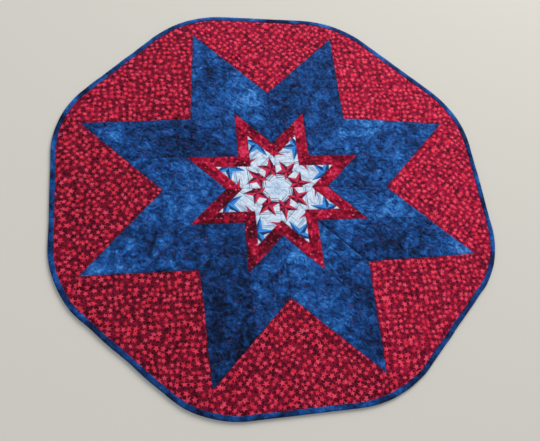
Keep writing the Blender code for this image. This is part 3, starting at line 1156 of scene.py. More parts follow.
@dataclass(frozen=True)
class Binding:
    """The edge strip: cloth folded double round the raw edge and sewn down, drawn in by its stitches.

    The crest is given in shares of the strip's width and of the crown's height. A wave has its length in
    millimetres and its slant across the strip.
    """

    edge: EdgePlan
    pitch: float = 2.0
    crown: float = 4.85
    under_lip: float = 3.45
    lip: float = 1.0
    nose: float = 0.3
    crest: tuple[complex, ...] = (0.45 + 1j, 0.62 + 0.99j, 0.78 + 0.965j, 0.9 + 0.91j, 0.97 + 0.84j)
    pucker: float = 0.16
    wander: float = 0.3
    waves: tuple[tuple[float, float], ...] = ((7.3, 0.5), (11.9, -0.4), (19.0, 0.3), (61.0, 0.0))
    # How much lighter the binding is painted on the window's side.
    painted_light_swing: float = 0.04
    tone_shift: float = -0.03

    def section(self) -> np.ndarray:
        """Draw the fold's section, as depth + i height: round the nose, over the top, in and back.

        Returns:
            The section's points, from the lowest outer line.
        """
        w, c, wall = self.edge.width, self.crown, self.edge.wall
        arc = np.radians(np.linspace(-60.0, 90.0, 9))
        nose = self.nose * w * (1.0 - np.cos(arc)) + 1j * (0.5 * c + 0.5 * c * np.sin(arc))
        crest = np.array(self.crest)
        turn_in = (w + 1j * self.under_lip, wall + 1j * self.under_lip)
        back = (wall + 1j * self.lip, w + 1j * self.lip, 0.95 * w + 0j, 0.16 * w + 0j)
        return np.concatenate((nose, crest.real * w + 1j * crest.imag * c, turn_in, back))

    def build(self, material: Material) -> bpy.types.Object:
        """Carry the section round the edge and draw it in.

        With sines a, b, c and d of the length walked, 7, 12, 19 and 61 mm long, the upper points rise by
        pucker (a (0.6 + 0.4 d) + 0.9 b c + 0.6 c), and the free edge wanders by wander (0.8 d + 0.4 c).

        Args:
            material: The binding's finish.

        Returns:
            The object, which stands for the binding node.
        """
        places, inward, _ = self.edge.line(self.pitch)
        section = self.section()
        walked, around = length_along(places), length_along(section)
        s, a = walked[:, None], around[None, :]
        total = walked[-1] + abs(places[0] - places[-1])
        short, middling, long, longest = (
            np.sin(2 * np.pi * np.round(total / length) * (s + slant * a) / total)
            for length, slant in self.waves
        )
        upper = smooth_step(0.35 * self.crown, 0.9 * self.crown, section.imag)[None, :]
        drawn = short * (0.6 + 0.4 * longest) + 0.9 * middling * long + 0.6 * long
        free = ((section.real > 0.3 * self.edge.width) & (section.imag > self.under_lip - 0.1))[None, :]
        depth = section.real[None, :] + free * self.wander * (longest * 0.8 + long * 0.4)
        height = section.imag[None, :] + self.pucker * upper * drawn * (section.real > 0.2)[None, :]
        moved = drift(places[:, None] + inward[:, None] * depth)
        rows, columns = moved.shape
        last = np.arange(rows) * columns + columns - 1
        after = np.roll(last, -1)
        seam = np.column_stack((last, after, after - columns + 1, last - columns + 1))
        faces = [sheet_faces(rows, columns, closed=True), seam]
        cloth = np.column_stack([np.broadcast_to(part, moved.shape).ravel() for part in (s, a)])
        # Painted light: the binding's tone rises towards the window by a sine of its angle.
        tone = self.painted_light_swing * np.sin(np.angle(moved) + np.radians(WINDOW_ANGLE)) + self.tone_shift
        maps, tones = {CLOTH_MAP: cloth}, {"tone": tone.ravel()}
        item = make_piece("binding_cloth", points(moved, height), faces, material, maps, tones)
        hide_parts("binding")
        return item


@dataclass(frozen=True)
class Backing:
    """Batting and backing in one: flat on the table, dimpled where the quilting pulls it up."""

    edge: EdgePlan
    quilting: Quilting
    steps: int = 220
    pitch: float = 2.0
    gap: float = 0.3
    rise: float = 0.35
    dimple_width: float = 2.0
    rim_fade: tuple[float, float] = (1.0, 0.96)
    top: float = 1.95

    def build(self, material: Material) -> bpy.types.Object:
        """Make the layer from a square grid that is drawn out to the octagon.

        A point (x, y) of the square goes to the disc at (x sqrt(1 - y^2/2), y sqrt(1 - x^2/2)), and from
        there out to the edge's distance at its angle. It rises by rise e^-(stitch distance / width)^2.

        Args:
            material: The backing's finish.

        Returns:
            The object, which stands for the quilted body.
        """
        line = np.linspace(-1.0, 1.0, self.steps + 1)
        x, y = np.meshgrid(line, line, indexing="ij")
        disc = x * np.sqrt(1 - y * y / 2) + 1j * y * np.sqrt(1 - x * x / 2)
        places, inward, _ = self.edge.line(self.pitch)
        rim_line = places + inward * (self.edge.width + self.gap)
        rim_line = rim_line[np.argsort(np.angle(rim_line))]
        reach = np.interp(np.angle(disc), np.angle(rim_line), np.abs(rim_line), period=2 * np.pi)
        place = (disc * reach).ravel()
        shown = smooth_step(*self.rim_fade, np.abs(disc)).ravel()
        stitched = self.quilting.stitch_distance(place)
        z = self.rise * np.exp(-((stitched / self.dimple_width) ** 2)) * shown
        rim = rim_of(*disc.shape)
        vertices = np.concatenate((points(place, z), points(place[rim], self.top)))
        upper = len(place) + np.arange(len(rim))
        walls = np.column_stack((rim, np.roll(rim, -1), np.roll(upper, -1), upper))
        faces = [sheet_faces(*disc.shape)[:, ::-1], walls, upper[None, :]]
        flat = np.concatenate((place, place[rim]))
        cloth = np.column_stack((flat.real, flat.imag))
        item = make_piece("backing_cloth", vertices, faces, material, {CLOTH_MAP: cloth})
        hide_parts("quilted_body")
        return item


def add_node(
    tree: Tree, kind: str, sockets: dict | tuple = (), stops: Stops = (), **settings: object
) -> Outputs:
    """Add a node with its settings, values and links.

    Args:
        tree: The material's node tree.
        kind: The node's type, without the words ShaderNode.
        sockets: Values or output sockets for the inputs, by name or index, or in order. None leaves one.
        stops: The places and hex colours of a ramp.
        **settings: The node's own properties.

    Returns:
        The node's outputs.
    """
    node = tree.nodes.new("ShaderNode" + kind)
    for key, value in settings.items():
        setattr(node, key, value)
    if stops:
        elements = node.color_ramp.elements
        while len(elements) < len(stops):
            elements.new(1.0)
        for element, (place, colour) in zip(elements, stops):
            element.position = place
            element.color = linear(colour)
    pairs = sockets.items() if isinstance(sockets, dict) else enumerate(sockets)
    for key, value in pairs:
        if isinstance(value, Socket):
            tree.links.new(value, node.inputs[key])
        elif value is not None:
            node.inputs[key].default_value = value
    return node.outputs


def new_material(name: str) -> tuple[Material, Tree]:
    """Make a material without nodes.

    Args:
        name: The material's name.

    Returns:
        The material and its node tree.
    """
    material = bpy.data.materials.new(name)
    material.use_nodes = True
    material.node_tree.nodes.clear()
    return material, material.node_tree


def lay_ink(
    tree: Tree,
    colour: Socket,
    ink: Socket | tuple[float, ...],
    value: Socket,
    fade: tuple[float, float],
    cover: float = 1.0,
) -> Socket:
    """Lay an ink over a print wherever a value has gone past the end of its fade.

    Args:
        tree: The material's node tree.
        colour: The print so far.
        ink: The ink's colour.
        value: What decides where the ink lies.
        fade: The value where the ink begins and the value where it is full.
        cover: How much of the print the full ink hides.

    Returns:
        The print with the ink on it.
    """
    share = add_node(tree, "MapRange", (value, *fade, 0.0, cover))["Result"]
    return add_node(tree, "Mix", {0: share, 6: colour, 7: ink}, data_type="RGBA")[2]


@dataclass(frozen=True)
class Layer:
    """One layer of a dyed cloth's mottle: a noise, by its size in millimetres and how much it adds."""

    size: float
    strength: float
    distortion: float
    roughness: float


@dataclass(frozen=True)
class Vein:
    """Thin lines in the dye, where a noise of this size is within a width of its middle value."""

    size: float
    distortion: float
    width: float
    strength: float


@dataclass(frozen=True)
class Joint:
    """One dark joint between printed planks: its place across them, its width and its strength."""

    place: float
    width: float
    strength: float


@dataclass(frozen=True)
class StarShape:
    """A five-pointed star, as a distance worked out in nodes.

    The angle is wrapped to within 36 degrees of the nearest ray, so the star is one straight edge from
    its point at R to its notch at r, and the distance to that edge is n.p - n.R with n square to it.
    """

    outer: float
    inner: float
    phase: float = 0.0
    half_ray: float = 36.0

    def normal(self) -> tuple[float, float]:
        """Find the unit step square to the edge from point to notch, outward.

        Returns:
            Its parts along the ray and across it.
        """
        x = self.inner * np.sin(np.radians(self.half_ray))
        y = self.outer - self.inner * np.cos(np.radians(self.half_ray))
        size = float(np.hypot(x, y))
        return float(x / size), float(y / size)

    def add(self, tree: Tree, step: Socket, turn: float | Socket = 0.0) -> tuple[Socket, Socket, Socket]:
        """Add the nodes.

        Args:
            tree: The material's node tree.
            step: The vector from the star's middle.
            turn: A further turn in radians.

        Returns:
            Sockets for the signed distance, the ray's own angle, and which side of the ray it is on.
        """
        phase, half = float(np.radians(self.phase)), float(np.radians(self.half_ray))
        n_x, n_y = self.normal()
        parts = add_node(tree, "SeparateXYZ", (step,))
        angle = add_node(tree, "Math", (parts[1], parts[0]), operation="ARCTAN2")[0]
        turned = add_node(tree, "Math", (angle, turn), operation="SUBTRACT")[0]
        phased = add_node(tree, "Math", (turned, phase), operation="SUBTRACT")[0]
        off = add_node(tree, "Math", (phased, half, -half), operation="WRAP")[0]
        ray = add_node(tree, "Math", (angle, off), operation="SUBTRACT")[0]
        side = add_node(tree, "Math", (off,), operation="SIGN")[0]
        spread = add_node(tree, "Math", (off,), operation="ABSOLUTE")[0]
        reach = add_node(tree, "VectorMath", (step,), operation="LENGTH")["Value"]
        away = add_node(tree, "Math", (spread, float(np.arctan2(n_y, n_x))), operation="SUBTRACT")[0]
        cosine = add_node(tree, "Math", (away,), operation="COSINE")[0]
        terms = (reach, cosine, -n_x * self.outer)
        return add_node(tree, "Math", terms, operation="MULTIPLY_ADD")[0], ray, side


@dataclass(frozen=True)
class BarnStar:
    """A printed star folded like sheet metal: its shape, its middle, where its light is, its colours."""

    shape: StarShape
    place: tuple[float, float]
    light: float
    stops: Stops


@dataclass(frozen=True)
class CottonFinish(ABC):
    """Quilting cotton, plain-woven and printed: matt, with a faint bloom of fibre where light grazes it.

    The weave scatters nearly all gloss, so the specular level is low. What is left is a dusty edge to
    every puff. The darker line in every pressed fold, where little light gets in, is painted shade.
    """

    name: str
    roughness: float = 0.82
    specular: float = 0.1
    sheen: float = 0.06
    sheen_roughness: float = 0.45
    sheen_tint: str = "#E7EDFF"
    weave_pitch: float = 0.75
    wave_unit: float = 0.314
    weave_depth: float = 0.05
    weave_slip: float = 0.4
    weave_strength: float = 0.55
    lint_scale: float = 0.9
    lint_rise: float = 2.2
    fold_shade: float = 0.42

    @abstractmethod
    def colour(self, tree: Tree, flat: Socket) -> Socket:
        """Add the print's nodes to the tree, on the cloth's map, and return the socket of its colour."""

    def build(self) -> Material:
        """Build the material: the print, the weave, the shade painted into the folds and the cloth's shader.

        The yarns of the real cloth are 0.3 mm apart, too fine to show, so they are drawn 0.75 mm apart.
        A wave texture has 20 waves to a unit of its scale, over 2 pi, hence its unit of 0.314.

        Returns:
            The material.
        """
        material, tree = new_material(self.name)
        flat = add_node(tree, "UVMap", uv_map=CLOTH_MAP)["UV"]
        scale = self.wave_unit / self.weave_pitch
        sockets = {"Vector": flat, "Scale": scale, "Distortion": self.weave_slip, "Detail": 1.0}
        waves = [
            add_node(tree, "TexWave", sockets, wave_type="BANDS", bands_direction=way)["Fac"]
            for way in ("X", "Y")
        ]
        weave = add_node(tree, "Math", tuple(waves), operation="MULTIPLY")[0]
        sockets = {"Vector": flat, "Scale": self.lint_scale, "Detail": 4.0, "Roughness": 0.7}
        lint = add_node(tree, "TexNoise", sockets)["Fac"]
        rough = add_node(tree, "Math", (lint, self.lint_rise, weave), operation="MULTIPLY_ADD")[0]
        depth = self.weave_depth * MM
        bump = add_node(tree, "Bump", {"Strength": self.weave_strength, "Distance": depth, "Height": rough})
        # Painted shade: the colour is darkened by fold_shade times the painted fold shade.
        painted_fold_shade = add_node(tree, "Attribute", attribute_name="painted_fold_shade")["Fac"]
        share = add_node(tree, "Math", (painted_fold_shade, -self.fold_shade, 1.0), operation="MULTIPLY_ADD")[0]
        sockets = {0: self.colour(tree, flat), "Scale": share}
        sockets = {
            "Base Color": add_node(tree, "VectorMath", sockets, operation="SCALE")[0],
            "Roughness": self.roughness,
            "Specular IOR Level": self.specular,
            "Sheen Weight": self.sheen,
            "Sheen Roughness": self.sheen_roughness,
            "Sheen Tint": linear(self.sheen_tint),
            "Normal": bump["Normal"],
        }
        add_node(tree, "OutputMaterial", (add_node(tree, "BsdfPrincipled", sockets)["BSDF"],))
        return material

    def with_vein(self, tree: Tree, flat: Socket, vein: Vein, total: Socket) -> Socket:
        """Add thin crackle lines to a share.

        Args:
            tree: The material's node tree.
            flat: The cloth's map.
            vein: The lines.
            total: The share so far.

        Returns:
            The share plus strength times max(0, 1 - |noise - 1/2| / width).
        """
        sockets = {"Vector": flat, "Scale": 1.0 / vein.size, "Detail": 3.0, "Roughness": 0.5}
        noise = add_node(tree, "TexNoise", {**sockets, "Distortion": vein.distortion})["Fac"]
        off = add_node(tree, "Math", (noise, 0.5), operation="SUBTRACT")[0]
        near = add_node(tree, "Math", (off,), operation="ABSOLUTE")[0]
        line = add_node(tree, "MapRange", (near, vein.width, 0.0, 0.0, vein.strength))["Result"]
        return add_node(tree, "Math", (line, total), operation="ADD")[0]

    def mottle(self, tree: Tree, flat: Socket, layers: tuple[Layer, ...]) -> Socket:
        """Add layers of noise up.

        Args:
            tree: The material's node tree.
            flat: The cloth's map.
            layers: The layers, from broad to fine.

        Returns:
            The sum of strength times (noise - 1/2), plus 1/2.
        """
        total = 0.5
        for layer in layers:
            sockets = {"Vector": flat, "Scale": 1.0 / layer.size, "Detail": 5.0}
            sockets.update({"Roughness": layer.roughness, "Distortion": layer.distortion})
            noise = add_node(tree, "TexNoise", sockets)["Fac"]
            even = add_node(tree, "Math", (noise, 0.5), operation="SUBTRACT")[0]
            total = add_node(tree, "Math", (even, layer.strength, total), operation="MULTIPLY_ADD")[0]
        return total

    def dyed(self, tree: Tree, total: Socket, stops: Stops) -> Socket:
        """Pick the dye's colour by a share and the tone, which on the binding holds painted light, added up.

        Args:
            tree: The material's node tree.
            total: The share, about 1/2 on average.
            stops: The dye's colours from dark to light.

        Returns:
            The colour.
        """
        tone = add_node(tree, "Attribute", attribute_name="tone")["Fac"]
        light = add_node(tree, "Math", (total, tone), operation="ADD")[0]
        return add_node(tree, "ValToRGB", (light,), stops)["Color"]


# The folded strip is cut across the cloth, so it shows long blots of dye and few fine flecks.
STRIP_LAYERS = (Layer(45.0, 0.9, 0.5, 0.5), Layer(16.0, 0.6, 0.5, 0.5), Layer(4.0, 0.25, 0.3, 0.5))


@dataclass(frozen=True)
class MottledNavy(CottonFinish):
    """Navy cotton, dyed in a crumpled heap: clouds and veins from midnight to sky blue."""

    # The dye sank in where the heap lay open and stayed off where it was creased. The eye sees soft
    # clouds some 40 mm across, blots and flecks down to 2.6 mm, and a few dark and pale veins.
    stops: Stops = (
        (0.22, "#010820"),
        (0.37, "#08254E"),
        (0.50, "#123F7C"),
        (0.63, "#205CA8"),
        (0.78, "#3E88D2"),
        (0.94, "#84BAEE"),
    )
    layers: tuple[Layer, ...] = (
        Layer(40.0, 0.25, 0.8, 0.5),
        Layer(16.0, 0.8, 0.9, 0.5),
        Layer(6.5, 0.42, 0.4, 0.55),
        Layer(2.6, 0.42, 0.1, 0.6),
    )
    dye_veins: tuple[Vein, ...] = (Vein(26.0, 1.6, 0.022, -0.13), Vein(19.0, 2.0, 0.016, 0.1))

    def colour(self, tree: Tree, flat: Socket) -> Socket:
        """Pick the colour by the mottle, the veins and the cloth's tone.

        Args:
            tree: The material's node tree.
            flat: The cloth's map.

        Returns:
            The colour.
        """
        total = self.mottle(tree, flat, self.layers)
        for vein in self.dye_veins:
            total = self.with_vein(tree, flat, vein, total)
        return self.dyed(tree, total, self.stops)


@dataclass(frozen=True)
class TonalCrimson(CottonFinish):
    """Crimson cotton, printed tone on tone with paler flecks."""

    # Red printed over red: the eye sees velvety blots of 30 and 12 mm, and rose flecks of about 5 mm
    # that sit on top, sharper than the blots.
    stops: Stops = (
        (0.22, "#3C0012"),
        (0.37, "#6C0020"),
        (0.50, "#96042C"),
        (0.62, "#BA1038"),
        (0.78, "#DA3458"),
    )
    layers: tuple[Layer, ...] = (
        Layer(30.0, 1.0, 0.5, 0.5),
        Layer(12.0, 1.1, 0.8, 0.55),
        Layer(5.0, 0.8, 0.2, 0.5),
    )
    fleck: str = "#F08CA6"
    fleck_size: float = 5.0
    fleck_fade: tuple[float, float] = (0.64, 0.76)
    fleck_cover: float = 0.95

    def colour(self, tree: Tree, flat: Socket) -> Socket:
        """Pick the colour by the mottle and the cloth's tone, and lay flecks where a noise is highest.

        Args:
            tree: The material's node tree.
            flat: The cloth's map.

        Returns:
            The colour.
        """
        dye = self.dyed(tree, self.mottle(tree, flat, self.layers), self.stops)
        sockets = {"Vector": flat, "Scale": 1.0 / self.fleck_size, "Detail": 2.0}
        speck = add_node(tree, "TexNoise", sockets)["Fac"]
        return lay_ink(tree, dye, linear(self.fleck), speck, self.fleck_fade, self.fleck_cover)


@dataclass(frozen=True)
class ScatteredStars(CottonFinish):
    """Dark red cotton, printed all over with small bright stars, each turned its own way."""

    # A wine ground with opaque scarlet stars, the largest about 10 mm from point to point, just
    # touching. The eye sees a bright speckle from afar, and crisp five-pointed stars close up.
    ground_stops: Stops = ((0.25, "#24000E"), (0.42, "#4E001A"), (0.56, "#7C0A2A"), (0.75, "#A8163A"))
    star_stops: Stops = ((0.0, "#D02840"), (0.4, "#DE3049"), (1.0, "#E6465F"))
    layers: tuple[Layer, ...] = (Layer(18.0, 0.5, 0.6, 0.5), Layer(4.5, 1.0, 0.8, 0.6))
    pitch: float = 9.7
    star: StarShape = StarShape(4.7, 2.1)
    scatter: float = 0.6
    smallest: float = 0.78
    size_range: float = 0.36
    sway: float = 11.0
    sway_scale: float = 0.022
    edge_blur: float = 0.25
    cover: float = 0.94
    # Painted light: the first part sets how much the tone, painted window light, lightens ground and stars.
    ground_gain: tuple[float, float] = (3.9, 1.33)
    star_gain: tuple[float, float] = (1.25, 1.13)

    def stars_from(self, tree: Tree, swayed: Socket, feature: str) -> tuple[Socket, Socket]:
        """Add the star nearest or next nearest to each place.

        Args:
            tree: The material's node tree.
            swayed: The cloth's map, swayed.
            feature: F1 for the nearest, F2 for the next.

        Returns:
            Sockets for the signed distance and the star's own chance.
        """
        sockets = {"Vector": swayed, "Scale": 1.0 / self.pitch, "Randomness": self.scatter}
        cell = add_node(tree, "TexVoronoi", sockets, voronoi_dimensions="2D", feature=feature)
        step = add_node(tree, "VectorMath", (swayed, cell["Position"]), operation="SUBTRACT")[0]
        chance = add_node(tree, "SeparateColor", (cell["Color"],))
        terms = (chance[0], self.size_range, self.smallest)
        size = add_node(tree, "Math", terms, operation="MULTIPLY_ADD")[0]
        inverse = add_node(tree, "Math", (1.0, size), operation="DIVIDE")[0]
        scaled = add_node(tree, "VectorMath", {0: step, "Scale": inverse}, operation="SCALE")[0]
        turn = add_node(tree, "Math", (chance[1], float(2 * np.pi)), operation="MULTIPLY")[0]
        return self.star.add(tree, scaled, turn)[0], chance[2]

    def colour(self, tree: Tree, flat: Socket) -> Socket:
        """Mottle the ground, and lay a star where either distance is below nought, on rows that sway.

        The tone attribute, painted window light on these patches, lights ground and stars by its gain's
        first part times the tone plus the second.

        Args:
            tree: The material's node tree.
            flat: The cloth's map.

        Returns:
            The colour.
        """
        tone = add_node(tree, "Attribute", attribute_name="tone")["Fac"]
        # Painted light: ground and stars are brightened by the painted window light in the tone.
        ground_gain, star_gain = (
            add_node(tree, "Math", (tone, *gain), operation="MULTIPLY_ADD")[0]
            for gain in (self.ground_gain, self.star_gain)
        )
        total = self.mottle(tree, flat, self.layers)
        ground = add_node(tree, "ValToRGB", (total,), self.ground_stops)["Color"]
        colour = add_node(tree, "VectorMath", {0: ground, "Scale": ground_gain}, operation="SCALE")[0]
        sockets = {"Vector": flat, "Scale": self.sway_scale, "Detail": 0.0}
        sway = add_node(tree, "TexNoise", sockets, noise_dimensions="2D")["Color"]
        terms = (sway, (self.sway, self.sway, 0.0), flat)
        swayed = add_node(tree, "VectorMath", terms, operation="MULTIPLY_ADD")[0]
        fade = (self.edge_blur, -self.edge_blur)
        for feature in ("F2", "F1"):
            distance, chance = self.stars_from(tree, swayed, feature)
            red = add_node(tree, "ValToRGB", (chance,), self.star_stops)["Color"]
            bright = add_node(tree, "VectorMath", {0: red, "Scale": star_gain}, operation="SCALE")[0]
            colour = lay_ink(tree, colour, bright, distance, fade, self.cover)
        return colour


@dataclass(frozen=True)
class WhiteStarPrint(CottonFinish):
    """White cotton, printed with weathered planks and faceted barn stars in red and blue."""

    # The eye sees cool white boards with fine blue-grey grain and dark joints, and stars that look
    # folded from sheet metal, light on one side of every ray and dark on the other.
    plank_turn: float = 48.0
    plank_stops: Stops = ((0.45, "#8FBAE8"), (0.60, "#B6D2F0"), (0.74, "#D0E1F4"), (0.92, "#E2EBF2"))
    grain_stretch: tuple[float, float, float] = (0.28, 0.02, 1.0)
    grain_share: float = 0.5
    blot_scale: float = 0.07
    wander: float = 1.0
    joints: tuple[Joint, ...] = (
        Joint(18.9, 0.55, 0.95),
        Joint(22.3, 0.55, 0.95),
        Joint(42.8, 0.45, 0.7),
        Joint(45.6, 0.55, 0.9),
        Joint(65.2, 0.55, 0.9),
        Joint(68.0, 0.45, 0.7),
        Joint(57.0, 0.4, 0.5),
        Joint(33.0, 0.35, 0.3),
    )
    joint_fade: tuple[float, float] = (1.3, 0.6)
    joint_colour: str = "#1F3C5E"
    blue_star: BarnStar = BarnStar(
        StarShape(28.5, 9.8, 68.0),
        (83.3, 27.0),
        190.0,
        ((0.0, "#103C76"), (0.4, "#1B58A4"), (0.62, "#2876C8"), (1.0, "#3890DE")),
    )
    red_star: BarnStar = BarnStar(
        StarShape(23.6, 9.0, 2.0),
        (34.8, 7.8),
        122.0,
        ((0.1, "#5C0828"), (0.45, "#821034"), (0.62, "#A8143A"), (0.9, "#C42044"), (1.0, "#CE2C50")),
    )
    facet_contrast: float = 0.9
    streak_scale: float = 0.35
    spike_corners: tuple[complex, ...] = (44.0 + 44.0j, 51.5 + 44.0j, 56.8 + 28.6j)
    spike_colour: str = "#B42746"
    edge_blur: float = 0.3

    def with_star(self, tree: Tree, colour: Socket, flat: Socket, star: BarnStar) -> Socket:
        """Lay a faceted star over the print.

        A facet is lit by the cosine of the angle between its slope, a quarter turn to its side of the
        ray, and the light.

        Args:
            tree: The material's node tree.
            colour: The print so far.
            flat: The cloth's map.
            star: The star.

        Returns:
            The print with the star on it.
        """
        step = add_node(tree, "VectorMath", (flat, (*star.place, 0.0)), operation="SUBTRACT")[0]
        distance, ray, side = star.shape.add(tree, step)
        slope = add_node(tree, "Math", (side, float(np.pi / 2), ray), operation="MULTIPLY_ADD")[0]
        away = add_node(tree, "Math", (slope, float(np.radians(star.light))), operation="SUBTRACT")[0]
        lit = add_node(tree, "Math", (away,), operation="COSINE")[0]
        sockets = {"Vector": flat, "Scale": self.streak_scale, "Detail": 4.0}
        terms = (lit, self.facet_contrast, add_node(tree, "TexNoise", sockets)["Fac"])
        shade = add_node(tree, "Math", terms, operation="MULTIPLY_ADD")[0]
        tint = add_node(tree, "ValToRGB", (shade,), star.stops)["Color"]
        return lay_ink(tree, colour, tint, distance, (self.edge_blur, -self.edge_blur))

    def with_spike(self, tree: Tree, colour: Socket, flat: Socket) -> Socket:
        """Lay the cut point of one more red star over the print: three edge distances are below nought.

        Args:
            tree: The material's node tree.
            colour: The print so far.
            flat: The cloth's map.

        Returns:
            The print with the point on it.
        """
        corners = np.array(self.spike_corners)
        edges = []
        for start, end in zip(corners, np.roll(corners, -1)):
            normal = 1j * (end - start) / abs(end - start)
            terms = (flat, (normal.real, normal.imag, 0.0))
            reach = add_node(tree, "VectorMath", terms, operation="DOT_PRODUCT")["Value"]
            edges.append(add_node(tree, "Math", (reach, float(dot(normal, start))), operation="SUBTRACT")[0])
        worst = edges[0]
        for edge in edges[1:]:
            worst = add_node(tree, "Math", (worst, edge), operation="MAXIMUM")[0]
        return lay_ink(tree, colour, linear(self.spike_colour), worst, (self.edge_blur, -self.edge_blur))

    def with_joints(self, tree: Tree, colour: Socket, across: Socket) -> Socket:
        """Lay the planks' joints over the print, each a line that fades out over a share of its width.

        Args:
            tree: The material's node tree.
            colour: The print so far.
            across: The distance across the planks, with its wander, which is half its range on average.

        Returns:
            The print with the joints on it.
        """
        for joint in self.joints:
            middle = joint.place + 0.5 * self.wander
            off = add_node(tree, "Math", (across, middle), operation="SUBTRACT")[0]
            near = add_node(tree, "Math", (off,), operation="ABSOLUTE")[0]
            begin, full = (share * joint.width for share in self.joint_fade)
            colour = lay_ink(tree, colour, linear(self.joint_colour), near, (begin, full), joint.strength)
        return colour

    def colour(self, tree: Tree, flat: Socket) -> Socket:
        """Draw planks with fine grain and dark joints, then the spike and the two stars.

        Args:
            tree: The material's node tree.
            flat: The cloth's map.

        Returns:
            The colour.
        """
        sockets = {"Vector": flat, "Angle": -float(np.radians(self.plank_turn))}
        turned = add_node(tree, "VectorRotate", sockets)[0]
        stretched = add_node(tree, "VectorMath", (turned, self.grain_stretch), operation="MULTIPLY")[0]
        sockets = {"Vector": stretched, "Scale": 1.0, "Detail": 6.0, "Roughness": 0.65}
        grain = add_node(tree, "TexNoise", sockets)["Fac"]
        sockets = {"Vector": flat, "Scale": self.blot_scale, "Detail": 3.0}
        blot = add_node(tree, "TexNoise", sockets)["Fac"]
        mixed = add_node(tree, "Math", (grain, self.grain_share, blot), operation="MULTIPLY_ADD")[0]
        print_so_far = add_node(tree, "ValToRGB", (mixed,), self.plank_stops)["Color"]
        across = add_node(tree, "SeparateXYZ", (turned,))[0]
        wandering = add_node(tree, "Math", (blot, self.wander, across), operation="MULTIPLY_ADD")[0]
        print_so_far = self.with_joints(tree, print_so_far, wandering)
        print_so_far = self.with_spike(tree, print_so_far, flat)
        for star in (self.blue_star, self.red_star):
            print_so_far = self.with_star(tree, print_so_far, flat, star)
        return print_so_far


@dataclass(frozen=True)
class ThreadFinish:
    """Polyester quilting thread, twisted and dyed in lengths of colour: a soft gloss along each stitch."""

    # Filament thread is smoother than cotton, so each stitch catches a small highlight, and the
    # colour changes every 30 mm or so along the line, so red comes and goes in arcs.
    name: str
    colours: Stops
    colour_rate: float = 0.035
    roughness: float = 0.42
    specular: float = 0.45
    sheen: float = 0.2

    def build(self) -> Material:
        """Build the material: the length walked, in a noise of about 30 mm, picks the colour.

        Returns:
            The material.
        """
        material, tree = new_material(self.name)
        walked = add_node(tree, "Attribute", attribute_name="walked")["Fac"]
        scaled = add_node(tree, "Math", (walked, self.colour_rate), operation="MULTIPLY")[0]
        sockets = {"W": scaled, "Scale": 1.0, "Detail": 1.0}
        share = add_node(tree, "TexNoise", sockets, noise_dimensions="1D")["Fac"]
        sockets = {
            "Base Color": add_node(tree, "ValToRGB", (share,), self.colours)["Color"],
            "Roughness": self.roughness,
            "Sheen Weight": self.sheen,
            "Specular IOR Level": self.specular,
        }
        add_node(tree, "OutputMaterial", (add_node(tree, "BsdfPrincipled", sockets)["BSDF"],))
        return material


@dataclass(frozen=True)
class Lamp:
    """A square light that points at the topper's middle: place and size in metres, power in watts."""

    name: str
    place: tuple[float, float, float]
    size: float
    power: float
    colour: str


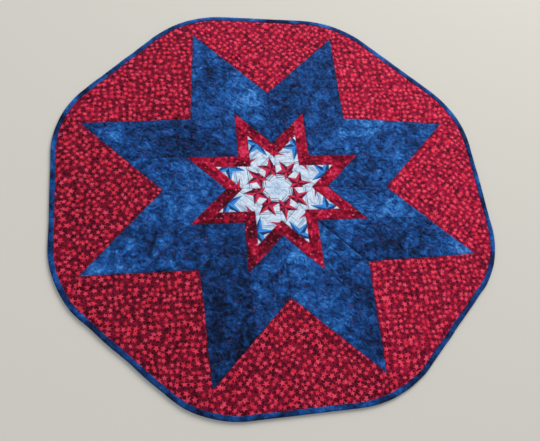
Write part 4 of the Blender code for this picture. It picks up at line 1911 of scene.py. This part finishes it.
@dataclass(frozen=True)
class Studio:
    """A plain pale floor, soft light from the far right, and the photograph's camera."""

    focal_length: float = 42.66
    sensor_width: float = 36.0
    nearest: float = 0.01
    camera_place: tuple[float, float, float] = (-0.1953, -0.4637, 0.9272)
    camera_turn: tuple[float, float, float] = (24.32, -8.32, -5.79)
    floor_reach: float = 6000.0
    floor_drop: float = 0.3
    floor_colour: str = "#D4CFC5"
    floor_roughness: float = 0.75
    floor_specular: float = 0.25
    lamps: tuple[Lamp, ...] = (
        Lamp("window_light", (2.1, 3.0, 2.7), 2.4, 175.0, "#FFFEFC"),
        Lamp("fill_light", (-1.2, -0.9, 1.8), 1.6, 6.0, "#F9FCFF"),
    )
    sky_colour: str = "#E9EEF5"
    sky_strength: float = 0.52

    def camera(self) -> None:
        """Place the camera where the photograph was taken from."""
        data = bpy.data.cameras.new("photo_camera")
        data.lens = self.focal_length
        data.sensor_width = self.sensor_width
        data.sensor_fit = "HORIZONTAL"
        data.clip_start = self.nearest
        item = add_object("photo_camera", data)
        item.location = self.camera_place
        item.rotation_euler = np.radians(self.camera_turn).tolist()
        bpy.context.scene.camera = item

    def floor(self) -> None:
        """Lay the floor: a plain square of four vertices just under the topper."""
        reach, drop = self.floor_reach, self.floor_drop
        corners = np.array([(x * reach, y * reach, -drop) for x, y in ((-1, -1), (1, -1), (1, 1), (-1, 1))])
        mesh = bpy.data.meshes.new("pale_floor")
        mesh.from_pydata((corners * MM).tolist(), [], [(0, 1, 2, 3)])
        # Matt painted board: the eye sees one even pale tone, and a soft shadow where the edge stands off.
        material, tree = new_material("pale_painted_floor")
        sockets = {
            "Base Color": linear(self.floor_colour),
            "Roughness": self.floor_roughness,
            "Specular IOR Level": self.floor_specular,
        }
        add_node(tree, "OutputMaterial", (add_node(tree, "BsdfPrincipled", sockets)["BSDF"],))
        mesh.materials.append(material)
        item = add_object("pale_floor", mesh)

    def lights(self) -> None:
        """Add a large window-like light beyond the topper on the right, a weak fill, and a pale sky."""
        scene = bpy.context.scene
        for lamp in self.lamps:
            data = bpy.data.lights.new(lamp.name, "AREA")
            data.shape = "SQUARE"
            data.size = lamp.size
            data.energy = lamp.power
            data.color = linear(lamp.colour)[:3]
            item = add_object(lamp.name, data)
            item.location = lamp.place
            item.rotation_euler = (-item.location).to_track_quat("-Z", "Y").to_euler()
        world = bpy.data.worlds.new("pale_room")
        world.use_nodes = True
        sky = world.node_tree.nodes["Background"]
        sky.inputs["Color"].default_value = linear(self.sky_colour)
        sky.inputs["Strength"].default_value = self.sky_strength
        scene.world = world
        scene.view_settings.view_transform = "Standard"


def main() -> None:
    """Build the studio, then the patchwork, the thread, the binding and the backing."""
    logging.basicConfig(level=logging.INFO, format="%(message)s")
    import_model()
    studio = Studio()
    studio.camera()
    studio.floor()
    studio.lights()
    materials = {
        Cloth.WHITE_PRINT: WhiteStarPrint("white_barn_star_cotton").build(),
        Cloth.RED_TONAL: TonalCrimson("crimson_tonal_cotton").build(),
        Cloth.NAVY_MOTTLE: MottledNavy("navy_mottled_cotton").build(),
        Cloth.STAR_PRINT: ScatteredStars("red_star_print_cotton").build(),
        Cloth.BINDING_NAVY: MottledNavy("navy_binding_cotton", layers=STRIP_LAYERS).build(),
        Cloth.BACKING_NAVY: MottledNavy("navy_backing_cotton").build(),
    }
    star, edge, quilting = StarPlan(), EdgePlan(), Quilting()
    patchwork = Patchwork(star, edge, quilting)
    for patch in patchwork.patches():
        item = patchwork.make(patch, materials)
        LOG.info("%s: %d faces", item.name, len(item.data.polygons))
    pale = ThreadFinish("pale_quilting_thread", ((0.4, "#98A4C6"), (0.6, "#C27898"))).build()
    crimson = ThreadFinish("crimson_quilting_thread", ((0.3, "#8A1028"), (0.7, "#B41E3A"))).build()
    navy_to_red = ((0.3, "#0E2450"), (0.54, "#1A366C"), (0.61, "#8E284A"), (0.7, "#BC3656"))
    variegated = ThreadFinish("variegated_quilting_thread", navy_to_red).build()
    spools = {
        Cloth.WHITE_PRINT: pale,
        Cloth.RED_TONAL: crimson,
        Cloth.NAVY_MOTTLE: variegated,
        Cloth.STAR_PRINT: crimson,
    }
    Threads(star, edge, quilting).build(spools)
    Binding(edge).build(materials[Cloth.BINDING_NAVY])
    Backing(edge, quilting).build(materials[Cloth.BACKING_NAVY])


if __name__ == "__main__":
    main()
